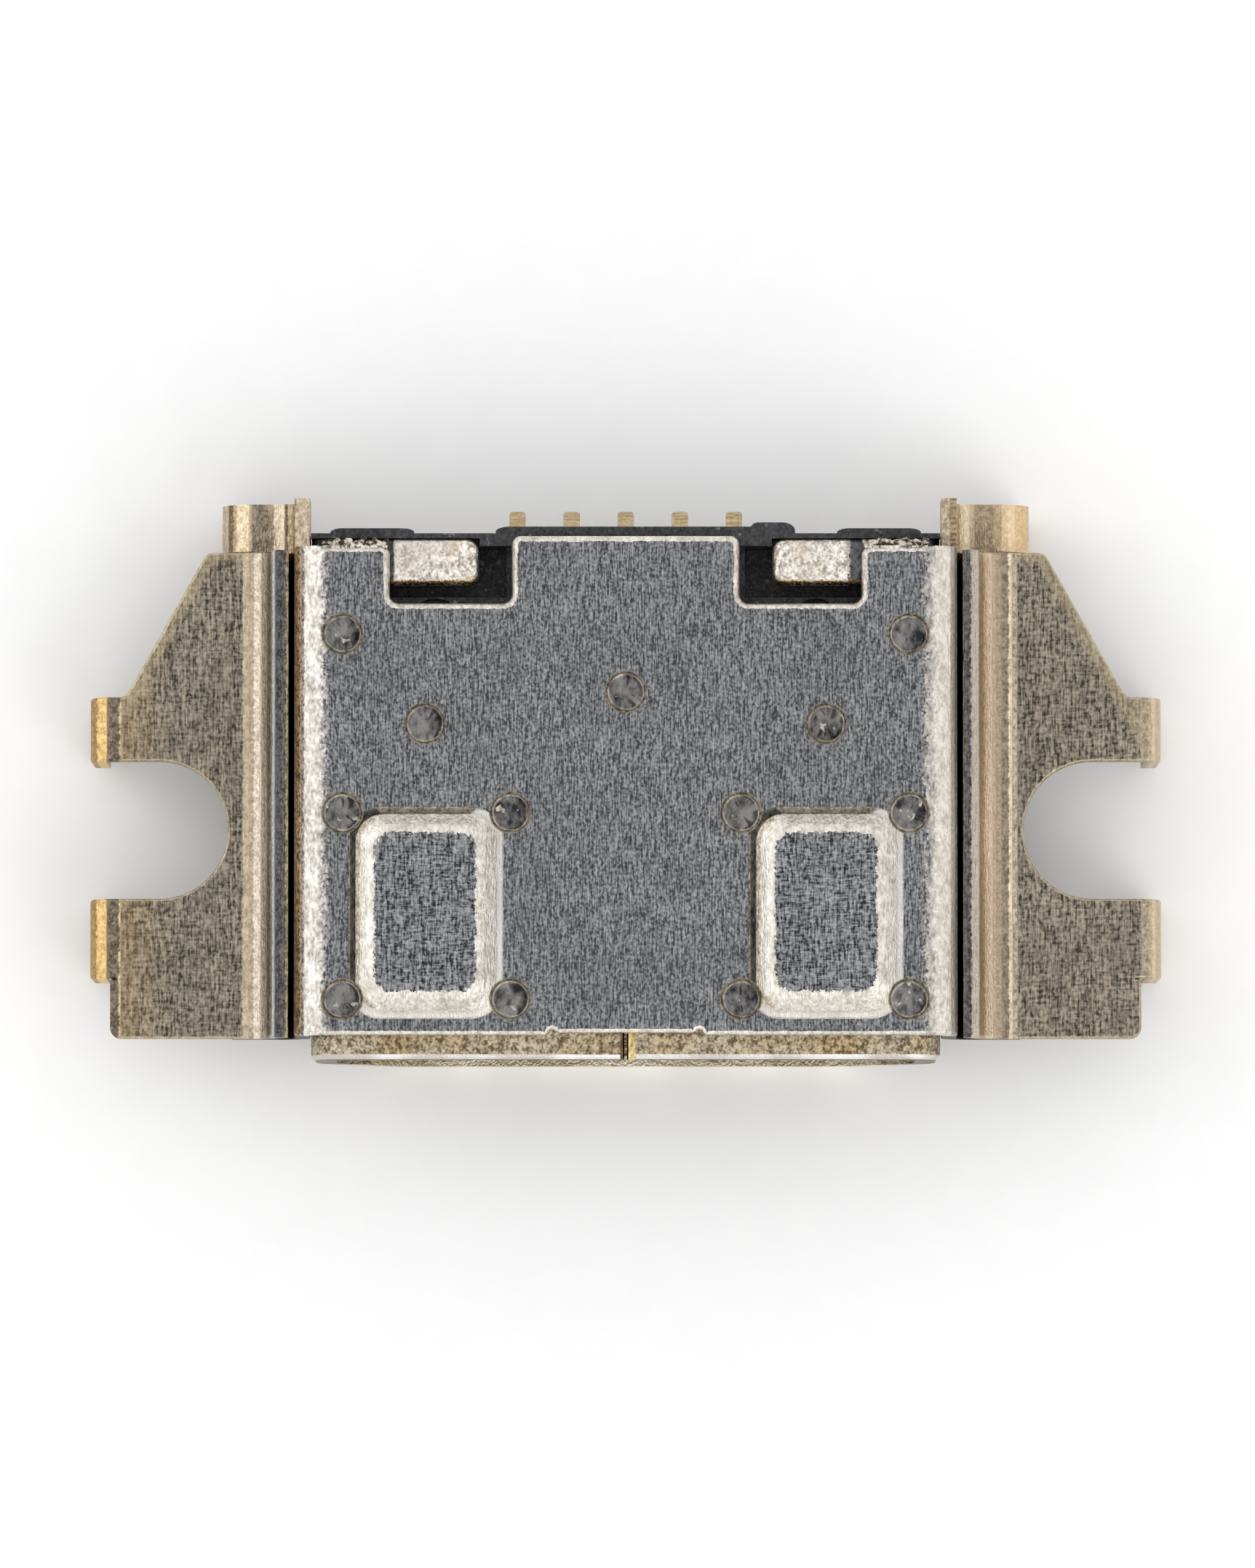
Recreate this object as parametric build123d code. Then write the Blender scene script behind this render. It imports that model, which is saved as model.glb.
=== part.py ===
from build123d import *
import math
import os

# Micro USB (Micro-B) receptacle with side wings, in millimetres.
# It lies on its narrow wall with the cover up. The mouth faces -Y and the
# contact feet point to +Y. While a piece is built, y is its distance from
# the mouth, and place() then moves it to the centre of the footprint.

# Plug opening, which the shell's inside follows
opening_width = 6.90
opening_height = 1.85
opening_upright = 1.02
opening_narrow_width = 5.30

# Inner shell, rolled from one strip and butted along the wide wall
shell_sheet = 0.30
shell_corner = 0.15
shell_slant_bend = 0.42
shell_roof_length = 5.38
tab_slot_length = 0.28
lip_rounding = 0.07
seam_gap = 0.03
seam_chamfer = 0.045
tab_width = 0.55
tab_tip = 1.75
tab_slot_reach = 2.93
tab_corner = 0.10

# Latch windows under the raised pads
window_width = 0.90
window_length = 1.50
window_corner = 0.12

# Cover, folded from one sheet
cover_sheet = 0.18
cover_side_gap = 0.02
cover_bend = 0.17
cover_setback = 0.285
cover_rear_setback = 0.095
cover_tongue_half_width = 1.355
cover_tongue_length = 0.12
notch_outer = 2.81
notch_clearance = 0.05
notch_corner = 0.11
front_recess_half_width = 0.92
front_recess_depth = 0.026
relief_radius = 0.055
break_off_centre = 3.18
break_off_width = 0.62
break_off_length = 0.07
break_off_inset = 0.03

# Raised pads of the cover
pad_centre = 2.38
pad_front = 0.50
pad_width = 1.80
pad_length = 2.52
pad_rise = 0.20
pad_slope = 50.0
pad_corner = 0.34
pad_crown = 0.15

# Weld spots: distances from the bend, the middle and the mouth
weld_radius = 0.225
weld_depth = 0.045
weld_from_bend = 0.23
weld_inner = 2.385
weld_pad_inner = 1.37
weld_rear_row = 5.06
weld_middle_row = 4.37
weld_inner_row = 3.99
weld_pad_rear_row = 2.93
weld_pad_front_row = 0.71

# Flange and rear solder legs, in one piece with the cover
seat_height = 1.13
flange_bend = 0.25
flange_width = 0.77
leg_width = 0.595
leg_offset = 0.90
leg_bend = 0.21
leg_tip_height = 0.10
leg_tip_chamfer = 0.12

# Side brackets
bracket_sheet = 0.20
bracket_gap = 0.08
bracket_bend = 0.34
bracket_edge_rise = 0.64
wing_width = 2.39
lip_bend = 0.12
lip_tip_height = 0.15
front_step = 0.25
front_lip_start = 1.00
front_corner = 0.13
wing_corner = 0.08
notch_radius = 0.824
notch_inset = 0.83
notch_row = 2.785
rear_lip_end = 4.38
slant_outer_inset = 0.43
slant_inner_inset = 1.40

# Housing
housing_gap = 0.01
housing_front = 4.40
housing_rim = 0.07
housing_rim_drop = 0.05
core_half_width = 1.30
rear_block_half_width = 1.55
rear_block_depth = 0.08
rear_block_corner = 0.06
rear_rib_centre = 3.02
rear_rib_width = 1.00
rear_rib_depth = 0.06
rear_rib_corner = 0.05
rear_lug_centre = 1.75
rear_lug_width = 0.54
rear_lug_depth = 0.13
rear_lug_corner = 0.10
pocket_inner = 1.42
pocket_depth = 0.39
pocket_lead = 0.13
pocket_wall = 0.08
mark_centre = 2.27
mark_row = 5.23
mark_radius = 0.29
mark_depth = 0.15

# Tongue
tongue_width = 3.70
tongue_thickness = 0.60
tongue_setback = 0.95
tongue_level = 1.30
tongue_nose = 0.14

# Contacts
contact_count = 5
contact_pitch = 0.65
contact_sheet = 0.12
contact_bend = 0.05
blade_width = 0.38
blade_corner = 0.08
tail_width = 0.195
long_blade_lead = 0.18
short_blade_lead = 0.45
tail_start = 4.60
foot_slope = 45.0
foot_length = 0.27
foot_corner = 0.04

# Heights and distances that follow from the sizes above
tab_front = shell_roof_length + tab_slot_length
shell_length = tab_front + tab_width
floor_height = shell_sheet
ceiling_height = floor_height + opening_height
roof_height = ceiling_height + shell_sheet
cover_top = roof_height + cover_sheet
cover_side_in = opening_width / 2 + shell_sheet + cover_side_gap
cover_side_out = cover_side_in + cover_sheet
cover_flat_edge = cover_side_out - cover_sheet - cover_bend
cover_side_rear = shell_length - cover_rear_setback
cover_rear = cover_side_rear + cover_tongue_length
notch_front = shell_roof_length + notch_clearance
weld_side = cover_flat_edge - weld_from_bend
flange_top = seat_height + cover_sheet
flange_reach = cover_side_out + flange_width
leg_reach = cover_side_out + leg_offset
leg_rear = cover_side_rear + leg_width
leg_wall_top = cover_top - cover_sheet - cover_bend
bracket_wall_in = cover_side_out + bracket_gap
bracket_wall_out = bracket_wall_in + bracket_sheet
bracket_front = cover_setback
bracket_rear = cover_side_rear
bracket_edge_top = flange_top + bracket_edge_rise
wing_top = flange_top + bracket_sheet
wing_reach = bracket_wall_in + wing_width
notch_centre = wing_reach - notch_inset
housing_top = roof_height - housing_rim_drop
housing_rear = shell_length + housing_rim
block_rear = housing_rear + rear_block_depth
block_bottom = tongue_level + contact_sheet + housing_gap
foot_end = block_rear + foot_length
overall_depth = leg_rear

# How far a cut runs past what it cuts, and how near counts as the same place
past = 1.0
near = 0.001


def place(shape):
    """Move a piece from distances behind the mouth to the part's own frame."""
    return Pos(0, -overall_depth / 2, 0) * shape


def both_sides(shape):
    """A piece on the right with its mirror image on the left."""
    return shape + mirror(shape, about=Plane.YZ)


def block(x0, x1, y0, y1, z0, z1):
    """A plain block between two corners."""
    middle = Pos((x0 + x1) / 2, (y0 + y1) / 2, (z0 + z1) / 2)
    return middle * Box(x1 - x0, y1 - y0, z1 - z0)


def folded_section(corners, radii):
    """Closed outline of a folded sheet, with its own radius at each corner."""
    return make_face(FilletPolyline(*corners, radius=radii, close=True))


def run_back(section, front, rear):
    """Run a section drawn across the socket from front to rear."""
    return Pos(0, front, 0) * extrude(Plane.XZ * section, amount=front - rear)


def raise_plan(plan, bottom, top):
    """Raise an outline drawn in plan between two heights."""
    return Pos(0, 0, bottom) * extrude(plan, amount=top - bottom)


def rounded_plan(width, length, centre, front, corner):
    """Rounded rectangle in plan, placed by its middle and its front edge."""
    return Pos(centre, front + length / 2) * RectangleRounded(width, length, corner)


def opening_face():
    """Inside outline of the shell, wide wall on top and slanted lower corners."""
    half_wide = opening_width / 2
    half_narrow = opening_narrow_width / 2
    slant_top = ceiling_height - opening_upright
    right = [
        (half_wide, ceiling_height),
        (half_wide, slant_top),
        (half_narrow, floor_height),
    ]
    radii = [shell_corner, shell_slant_bend, shell_slant_bend]
    left = [(-x, z) for x, z in reversed(right)]
    return folded_section(right + left, radii + radii[::-1])


# Inner shell
def make_inner_shell():
    inside = opening_face()
    outside = offset(inside, amount=shell_sheet)
    tube = run_back(outside, 0, shell_length)
    tube = fillet(tube.faces().sort_by(Axis.Y)[0].edges(), lip_rounding)
    shell = tube - run_back(inside, -past, shell_length + past)
    mouth_edges = shell.faces().sort_by(Axis.Y)[0].inner_wires()[0].edges()
    shell = chamfer(mouth_edges, lip_rounding)
    for cut in (seam_cut(), roof_cut(), window_cuts()):
        shell -= cut
    return fillet(tab_corner_edges(shell), tab_corner)


def seam_cut():
    """Gap where the two edges of the strip meet, with its broken edges."""
    half_gap = seam_gap / 2
    half_mouth = half_gap + seam_chamfer
    right = [
        (half_gap, ceiling_height - shell_sheet / 2),
        (half_gap, roof_height - seam_chamfer),
        (half_mouth, roof_height),
        (half_mouth, roof_height + past),
    ]
    left = [(-x, z) for x, z in reversed(right)]
    section = make_face(Polyline(*right, *left, close=True))
    return run_back(section, -past, shell_roof_length + past)


def through_roof(plan):
    """A cut of this outline through the wide wall alone."""
    return raise_plan(plan, ceiling_height - shell_sheet / 2, roof_height + past)


def roof_cut():
    """Opening behind the wide wall that leaves the two folded tabs."""
    slot_middle = shell_roof_length + tab_slot_length / 2
    slot = Pos(0, slot_middle) * SlotOverall(2 * tab_slot_reach, tab_slot_length)
    middle_length = shell_length + past - shell_roof_length
    middle = Pos(0, shell_roof_length + middle_length / 2) * Rectangle(2 * tab_tip, middle_length)
    return through_roof(slot + middle)


def tab_corner_edges(shell):
    """Upright edges at the free end of each tab."""
    upright = shell.edges().filter_by(Axis.Z)
    at_tip = upright.filter_by(lambda edge: abs(abs(edge.center().X) - tab_tip) < near)
    return at_tip.filter_by(lambda edge: edge.center().Y > tab_front - near)


def window_cuts():
    """Latch windows in the wide wall, under the middle of each pad."""
    front = pad_front + (pad_length - window_length) / 2
    window = rounded_plan(window_width, window_length, pad_centre, front, window_corner)
    return both_sides(through_roof(window))


# Cover
def make_cover_shell():
    cover = cover_fold() + rear_legs() + break_offs()
    cover -= rear_notches()
    cover -= front_cuts()
    cover += both_sides(pad_form())
    cover -= both_sides(pad_hollow())
    for dent in weld_dents():
        cover -= dent
    return cover


def cover_fold():
    """Top, side walls, flanges and rear tongue, folded from one sheet."""
    right = [
        (cover_side_out, cover_top),
        (cover_side_out, flange_top),
        (flange_reach, flange_top),
        (flange_reach, seat_height),
        (cover_side_in, seat_height),
        (cover_side_in, roof_height),
    ]
    radii = [cover_bend + cover_sheet, flange_bend, 0, 0, flange_bend + cover_sheet, cover_bend]
    left = [(-x, z) for x, z in reversed(right)]
    section = folded_section(right + left, radii + radii[::-1])
    fold = run_back(section, cover_setback, cover_side_rear)
    half = cover_tongue_half_width
    length = cover_tongue_length + 2 * notch_corner
    tongue = rounded_plan(2 * half, length, 0, cover_rear - length, notch_corner)
    return fold + raise_plan(tongue, roof_height, cover_top)


def rear_legs():
    """Solder legs: the side wall runs on, turns out and then down."""
    leg_in = leg_reach - cover_sheet
    corners = [
        (cover_side_out, leg_wall_top),
        (cover_side_out, flange_top),
        (leg_reach, flange_top),
        (leg_reach, leg_tip_height),
        (leg_in, leg_tip_height),
        (leg_in, seat_height),
        (cover_side_in, seat_height),
        (cover_side_in, leg_wall_top),
    ]
    radii = [0, flange_bend, leg_bend + cover_sheet, 0, 0, leg_bend, flange_bend + cover_sheet, 0]
    leg = run_back(folded_section(corners, radii), cover_side_rear, leg_rear)
    across = leg.edges().filter_by(Axis.X)
    tip_edges = across.filter_by(lambda edge: edge.center().Z < leg_tip_height + near)
    return both_sides(chamfer(tip_edges, leg_tip_chamfer))


def break_offs():
    """Stubs left on the rear edge where the carrier strip broke off."""
    low = roof_height + break_off_inset
    high = cover_top - break_off_inset
    x0 = break_off_centre - break_off_width / 2
    rear = cover_side_rear + break_off_length
    return both_sides(block(x0, x0 + break_off_width, cover_side_rear, rear, low, high))


def rear_notches():
    """Rounded notches that show the folded tabs."""
    width = notch_outer - cover_tongue_half_width
    length = cover_side_rear - notch_front + 2 * notch_corner
    centre = cover_tongue_half_width + width / 2
    plan = rounded_plan(width, length, centre, notch_front, notch_corner)
    return both_sides(raise_plan(plan, roof_height - cover_sheet, cover_top + past))


def front_cuts():
    """Shallow recess of the front edge, with a relief at each end."""
    rear = cover_setback + front_recess_depth
    half = front_recess_half_width
    recess = block(-half, half, 0, rear, roof_height - past, cover_top + past)
    relief = Pos(half - relief_radius, rear) * Circle(relief_radius)
    return recess + both_sides(raise_plan(relief, roof_height - past, cover_top + past))


def pad_form():
    """The right pad as a solid form that stands on the cover's top."""
    form = pad_frustum(0, cover_top)
    return fillet(form.faces().sort_by(Axis.Z)[-1].edges(), pad_crown)


def pad_hollow():
    """What is taken from under the pad, so that the wall is one sheet thick."""
    tilt = math.radians(pad_slope)
    shrink = cover_sheet * (1 - math.sin(tilt)) / math.cos(tilt)
    below = cover_sheet / 2
    foot = pad_plan(shrink)
    return pad_frustum(shrink, roof_height) + raise_plan(foot, roof_height - below, roof_height)


def pad_frustum(shrink, bottom):
    """Straight-sided pad that narrows upwards from its foot."""
    inset = shrink + pad_rise * math.tan(math.radians(pad_slope))
    foot = Pos(0, 0, bottom) * pad_plan(shrink)
    crown = Pos(0, 0, bottom + pad_rise) * pad_plan(inset)
    return loft([foot, crown], ruled=True)


def pad_plan(inset):
    """Outline of the right pad, drawn in by this much all round."""
    width = pad_width - 2 * inset
    length = pad_length - 2 * inset
    return rounded_plan(width, length, pad_centre, pad_front + inset, pad_corner - inset)


def weld_places():
    """Middles of the weld spots, in plan."""
    right = [
        (weld_side, weld_rear_row),
        (weld_inner, weld_inner_row),
        (weld_side, weld_pad_rear_row),
        (weld_pad_inner, weld_pad_rear_row),
        (weld_side, weld_pad_front_row),
        (weld_pad_inner, weld_pad_front_row),
    ]
    left = [(-x, y) for x, y in right]
    return right + left + [(0, weld_middle_row)]


def weld_dents():
    """Shallow round dents, upright-walled where they meet the foot of a pad."""
    ball_radius = (weld_radius**2 + weld_depth**2) / (2 * weld_depth)
    ball = Pos(0, 0, ball_radius - weld_depth) * Sphere(ball_radius)
    dent = ball & Cylinder(weld_radius, 2 * pad_rise + 2 * weld_depth)
    return [Pos(x, y, cover_top) * dent for x, y in weld_places()]


# Side brackets
def make_bracket():
    """The right bracket: upturned edge, wing and outer lips in one sheet."""
    lip_in = wing_reach - bracket_sheet
    corners = [
        (bracket_wall_in, bracket_edge_top),
        (bracket_wall_in, flange_top),
        (lip_in, flange_top),
        (lip_in, lip_tip_height),
        (wing_reach, lip_tip_height),
        (wing_reach, wing_top),
        (bracket_wall_out, wing_top),
        (bracket_wall_out, bracket_edge_top),
    ]
    big_bend = bracket_bend + bracket_sheet
    radii = [0, big_bend, lip_bend, 0, 0, lip_bend + bracket_sheet, bracket_bend, 0]
    fold = run_back(folded_section(corners, radii), bracket_front, bracket_rear)
    return fold & raise_plan(wing_plan(), 0, roof_height)


def wing_plan():
    """Outline of the right bracket seen from above, with its screw notch."""
    front_reach = wing_reach - front_step
    notch_front_edge = notch_row - notch_radius
    notch_rear_edge = notch_row + notch_radius
    corners = [
        (bracket_wall_in, bracket_front),
        (front_reach, bracket_front),
        (front_reach, front_lip_start),
        (wing_reach, front_lip_start),
        (wing_reach, notch_front_edge),
        (notch_centre, notch_front_edge),
        (notch_centre, notch_rear_edge),
        (wing_reach, notch_rear_edge),
        (wing_reach, rear_lip_end),
        (wing_reach - slant_outer_inset, rear_lip_end),
        (wing_reach - slant_inner_inset, bracket_rear),
        (bracket_wall_in, bracket_rear),
    ]
    small = wing_corner
    radii = [0, front_corner, small, small, small, 0, 0, small, small, small, small, 0]
    outline = folded_section(corners, radii)
    return outline - Pos(notch_centre, notch_row) * Circle(notch_radius)


# Housing
def make_housing():
    body_outline = offset(opening_face(), amount=-housing_gap)
    housing = run_back(body_outline, housing_front, housing_rear)
    housing += rear_rim() + raised_core() + rear_block() + tongue()
    housing -= both_sides(pocket())
    housing -= both_sides(mould_mark())
    for number in range(contact_count):
        housing -= make_contact(number)
    return housing


def rear_rim():
    """Rim that closes the back of the shell, with two raised ribs and a gate lug."""
    half = opening_width / 2 + shell_sheet
    front = shell_length + housing_gap
    rim = block(-half, half, front, housing_rear, floor_height, housing_top)
    x0 = rear_rib_centre - rear_rib_width / 2
    x1 = x0 + rear_rib_width
    rib = block(x0, x1, front, housing_rear + rear_rib_depth, floor_height, housing_top)
    x2 = rear_lug_centre - rear_lug_width / 2
    x3 = x2 + rear_lug_width
    lug = block(x2, x3, front, housing_rear + rear_lug_depth, floor_height, housing_top)
    ribs = both_sides(rounded_rear(rib, rear_rib_corner))
    return rim + ribs + rounded_rear(lug, rear_lug_corner)


def rounded_rear(solid, radius):
    """A block with its two upright rear edges rounded."""
    return fillet(solid.edges().filter_by(Axis.Z).group_by(Axis.Y)[-1], radius)


def raised_core():
    """Middle of the moulding, raised between the tabs to carry the cover."""
    low = ceiling_height - shell_sheet
    core = block(-core_half_width, core_half_width, notch_front, housing_rear, low, housing_top)
    half = tab_tip - housing_gap
    bridge = block(-half, half, shell_length - pocket_wall, housing_rear, low, housing_top)
    return core + bridge


def rear_block():
    """Overhang above the contact feet."""
    half = rear_block_half_width
    overhang = block(-half, half, shell_length, block_rear, block_bottom, housing_top)
    return rounded_rear(overhang, rear_block_corner)


def pocket():
    """Hollow beside and under the right tab, open through the cover's notch."""
    front = tab_front - pocket_lead
    rear = shell_length - pocket_wall
    bottom = ceiling_height - pocket_depth
    return block(pocket_inner, notch_outer, front, rear, bottom, ceiling_height + shell_sheet)


def mould_mark():
    """Round ejector mark that shows at the front of the notch."""
    mark = Pos(mark_centre, mark_row) * Circle(mark_radius)
    return raise_plan(mark, ceiling_height - mark_depth, ceiling_height)


def tongue():
    """Tongue that carries the contact blades, with a chamfered nose."""
    half = tongue_width / 2
    top = tongue_level + tongue_thickness
    slab = block(-half, half, tongue_setback, housing_front, tongue_level, top)
    nose = slab.faces().sort_by(Axis.Y)[0].edges()
    return chamfer(nose, tongue_nose)


# Contacts
def make_contact(number):
    """One stamped contact: blade in the tongue, tail and stepped solder foot."""
    middle = (contact_count - 1) / 2
    at_the_ends = number in (0, contact_count - 1)
    lead = long_blade_lead if at_the_ends else short_blade_lead
    front = tongue_setback + lead
    x = (number - middle) * contact_pitch
    side = Plane.YZ * contact_section(front)
    bar = extrude(side, amount=blade_width / 2, both=True)
    contact = bar & raise_plan(contact_plan(front), 0, roof_height)
    return Pos(x, 0, 0) * contact


def contact_section(front):
    """Side view of a contact: level, stepped down behind the housing, level."""
    step = tongue_level - seat_height
    run = step / math.tan(math.radians(foot_slope))
    shift = contact_sheet * math.tan(math.radians(foot_slope / 2))
    bend = housing_rear + housing_gap
    corners = [
        (front, tongue_level),
        (bend, tongue_level),
        (bend + run, seat_height),
        (foot_end, seat_height),
        (foot_end, seat_height + contact_sheet),
        (bend + run + shift, seat_height + contact_sheet),
        (bend + shift, tongue_level + contact_sheet),
        (front, tongue_level + contact_sheet),
    ]
    outer = contact_bend + contact_sheet
    return folded_section(corners, [0, contact_bend, outer, 0, 0, contact_bend, outer, 0])


def contact_plan(front):
    """Plan of a contact: a wide blade in front of a narrow tail."""
    blade = rounded_plan(blade_width, tail_start - front, 0, front, blade_corner)
    tail_length = foot_end - tail_start + blade_corner
    tail = rounded_plan(tail_width, tail_length, 0, tail_start - blade_corner, foot_corner)
    return blade + tail


def main():
    """Write one file for each piece."""
    os.makedirs("parts", exist_ok=True)
    bracket = make_bracket()
    pieces = {
        "inner_shell": make_inner_shell(),
        "cover_shell": make_cover_shell(),
        "right_bracket": bracket,
        "left_bracket": mirror(bracket, about=Plane.YZ),
        "housing": make_housing(),
    }
    for number in range(contact_count):
        pieces[f"contact_{number + 1}"] = make_contact(number)
    for name, shape in pieces.items():
        export_step(place(shape), f"parts/{name}.step")


main()
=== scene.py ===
"""Fine form and finish of a micro USB socket with side wings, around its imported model.

Each sheet-metal piece is folded edge by edge, cut and rolled as a press would do it, in
millimetres, and is brought to the scene's metres once it is whole. The moulding and the
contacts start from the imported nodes, whose form is right, and get rounded edges.
"""

import logging
import math
import random
from contextlib import contextmanager
from dataclasses import dataclass
from enum import Enum
from typing import Any, Callable, Iterator, Optional

import bmesh
import bpy
from bpy.types import Material, NodeSocket, NodeTree, Object
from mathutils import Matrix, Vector


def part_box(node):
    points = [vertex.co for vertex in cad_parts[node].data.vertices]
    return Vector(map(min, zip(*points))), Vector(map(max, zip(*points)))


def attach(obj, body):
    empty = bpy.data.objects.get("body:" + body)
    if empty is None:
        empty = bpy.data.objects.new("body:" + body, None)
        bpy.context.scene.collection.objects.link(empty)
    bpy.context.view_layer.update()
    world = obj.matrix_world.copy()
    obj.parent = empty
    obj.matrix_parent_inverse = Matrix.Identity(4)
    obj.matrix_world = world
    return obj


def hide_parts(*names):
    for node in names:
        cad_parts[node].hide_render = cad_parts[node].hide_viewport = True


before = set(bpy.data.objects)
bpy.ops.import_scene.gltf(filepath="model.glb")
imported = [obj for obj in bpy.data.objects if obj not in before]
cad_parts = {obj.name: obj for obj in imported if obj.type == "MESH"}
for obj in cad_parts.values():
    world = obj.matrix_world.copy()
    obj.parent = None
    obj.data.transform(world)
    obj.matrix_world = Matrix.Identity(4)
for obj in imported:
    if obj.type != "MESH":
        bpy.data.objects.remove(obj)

log = logging.getLogger("socket")

MM = 0.001  # one millimetre in the scene's metres
NEAR = 0.004  # how near counts as the same place, in millimetres
FOLD = math.radians(50)  # a fold that a sheared edge makes, and no bend does
SMOOTH = math.radians(32)  # the sharpest fold that is shaded round
PAD_FOLD = math.radians(15)  # the flattest fold at a pad's foot
SHARP = math.radians(40)  # the flattest fold of a moulded or stamped piece that is rounded
CREASE = math.radians(1)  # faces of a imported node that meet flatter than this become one
LEFTOVER = math.radians(0.5)  # the same for the faces of a thickened sheet
LEVEL_FACE = 0.99  # least upright part of the normal of a level face
ANYWHERE = (-math.inf, math.inf)
BEND_STEPS = 12  # segments of a quarter turn
ROLL_UNIT = 0.1  # width of a rolled rim at full weight, in millimetres
BACK = "back"  # vertex group of a sheet's far side
EVER = 100.0  # beyond any place on a piece, in millimetres


class Part(Enum):
    """Kind of element that an edit picks."""

    FACES = "FACE"
    EDGES = "EDGE"
    CORNERS = "VERT"


class Cut(Enum):
    """What a tool does to the piece it meets."""

    TAKE = "DIFFERENCE"
    JOIN = "UNION"


def only(piece: Object) -> None:
    """Make a piece the one that is selected and active.

    Args:
        piece: The piece to work on.
    """
    if bpy.context.mode != "OBJECT":
        bpy.ops.object.mode_set(mode="OBJECT")
    bpy.ops.object.select_all(action="DESELECT")
    piece.select_set(True)
    bpy.context.view_layer.objects.active = piece


@contextmanager
def editing(piece: Object) -> Iterator[None]:
    """Open a piece in edit mode for the length of a with block.

    Args:
        piece: The piece to edit.
    """
    only(piece)
    bpy.ops.object.mode_set(mode="EDIT")
    try:
        yield
    finally:
        bpy.ops.object.mode_set(mode="OBJECT")


def within(element: Any, x: tuple = ANYWHERE, y: tuple = ANYWHERE, z: tuple = ANYWHERE) -> bool:
    """Whether all of an element lies in a box.

    Args:
        element: A vertex, an edge or a face of the mesh in edit.
        x: Lowest and highest X.
        y: Lowest and highest Y.
        z: Lowest and highest Z.

    Returns:
        True if each corner is inside or on the box.
    """
    corners = [element] if isinstance(element, bmesh.types.BMVert) else element.verts
    for corner in corners:
        for axis, (low, high) in enumerate((x, y, z)):
            if not low - NEAR <= corner.co[axis] <= high + NEAR:
                return False
    return True


def at(value: float) -> tuple[float, float]:
    """A range that holds one value only."""
    return (value, value)


def is_sheared(edge: bmesh.types.BMEdge) -> bool:
    """Whether two faces meet in a sharp fold at this edge."""
    return len(edge.link_faces) == 2 and edge.calc_face_angle() > FOLD


def is_upright(edge: bmesh.types.BMEdge) -> bool:
    """Whether an edge runs along Z."""
    run = edge.verts[1].co - edge.verts[0].co
    return abs(run.x) < NEAR and abs(run.y) < NEAR and abs(run.z) > NEAR


def pick(piece: Object, kind: Part, wanted: Callable[[Any], bool]) -> int:
    """Select what passes a test, in edit mode.

    Args:
        piece: The piece in edit.
        kind: Which elements are tested.
        wanted: The test.

    Returns:
        How many elements are selected.
    """
    bpy.ops.mesh.select_mode(type=kind.value)
    bpy.ops.mesh.select_all(action="DESELECT")
    mesh = bmesh.from_edit_mesh(piece.data)
    groups = {Part.FACES: mesh.faces, Part.EDGES: mesh.edges, Part.CORNERS: mesh.verts}
    chosen = [element for element in groups[kind] if wanted(element)]
    for element in chosen:
        element.select_set(True)
    mesh.select_flush_mode()
    bmesh.update_edit_mesh(piece.data)
    return len(chosen)


def pick_in(piece: Object, kind: Part, **box: tuple) -> None:
    """Select what lies in a box, whose limits are named as those of within."""
    pick(piece, kind, lambda element: within(element, **box))


def bevel_edges(offset: float, segments: int) -> None:
    """Bevel the selected edges, in edit mode."""
    bpy.ops.mesh.bevel(offset=offset, segments=segments, affect="EDGES", clamp_overlap=False)


def extrude(x: float = 0, y: float = 0, z: float = 0) -> None:
    """Extrude the selection by a step.

    Args:
        x: Step along X.
        y: Step along Y.
        z: Step along Z.
    """
    bpy.ops.mesh.extrude_region_move(TRANSFORM_OT_translate={"value": (x, y, z)})


def score(x: tuple = (), y: tuple = ()) -> None:
    """Divide all faces in edit along straight lines.

    Args:
        x: Places of the lines that run along Y.
        y: Places of the lines that run along X.
    """
    for place in x:
        bpy.ops.mesh.select_all(action="SELECT")
        bpy.ops.mesh.bisect(plane_co=(place, 0, 0), plane_no=(1, 0, 0))
    for place in y:
        bpy.ops.mesh.select_all(action="SELECT")
        bpy.ops.mesh.bisect(plane_co=(0, place, 0), plane_no=(0, 1, 0))


def blank_out(piece: Object, x: tuple, y: tuple) -> None:
    """Delete the scored faces of a flat plate that lie in a box.

    Args:
        piece: The piece in edit.
        x: Lowest and highest X.
        y: Lowest and highest Y.
    """
    pick_in(piece, Part.FACES, x=x, y=y)
    bpy.ops.mesh.delete(type="FACE")


def round_corner(piece: Object, x: float, y: float, radius: float, steps: int = 8) -> None:
    """Round the upright edge of a sheet at a place, and its twin on the other side.

    Args:
        piece: The piece, out of edit mode.
        x: Its distance from the middle.
        y: Its Y.
        radius: The radius.
        steps: Segments of the rounding.
    """
    with editing(piece):
        found = pick(
            piece,
            Part.EDGES,
            lambda edge: is_upright(edge)
            and within(edge, y=at(y))
            and abs(abs(edge.verts[0].co.x) - x) < NEAR,
        )
        if not found:
            raise ValueError(f"{piece.name} has no corner at {x:.3f}, {y:.3f}")
        bevel_edges(radius, steps)


def improve(piece: Object, kind: str, **settings: Any) -> None:
    """Add a modifier to a piece and apply it.

    Args:
        piece: The piece to change.
        kind: The modifier's type.
        settings: The modifier's own settings.
    """
    only(piece)
    bpy.ops.object.modifier_add(type=kind)
    modifier = piece.modifiers[-1]
    for name, value in settings.items():
        setattr(modifier, name, value)
    bpy.ops.object.modifier_apply(modifier=modifier.name)


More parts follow.
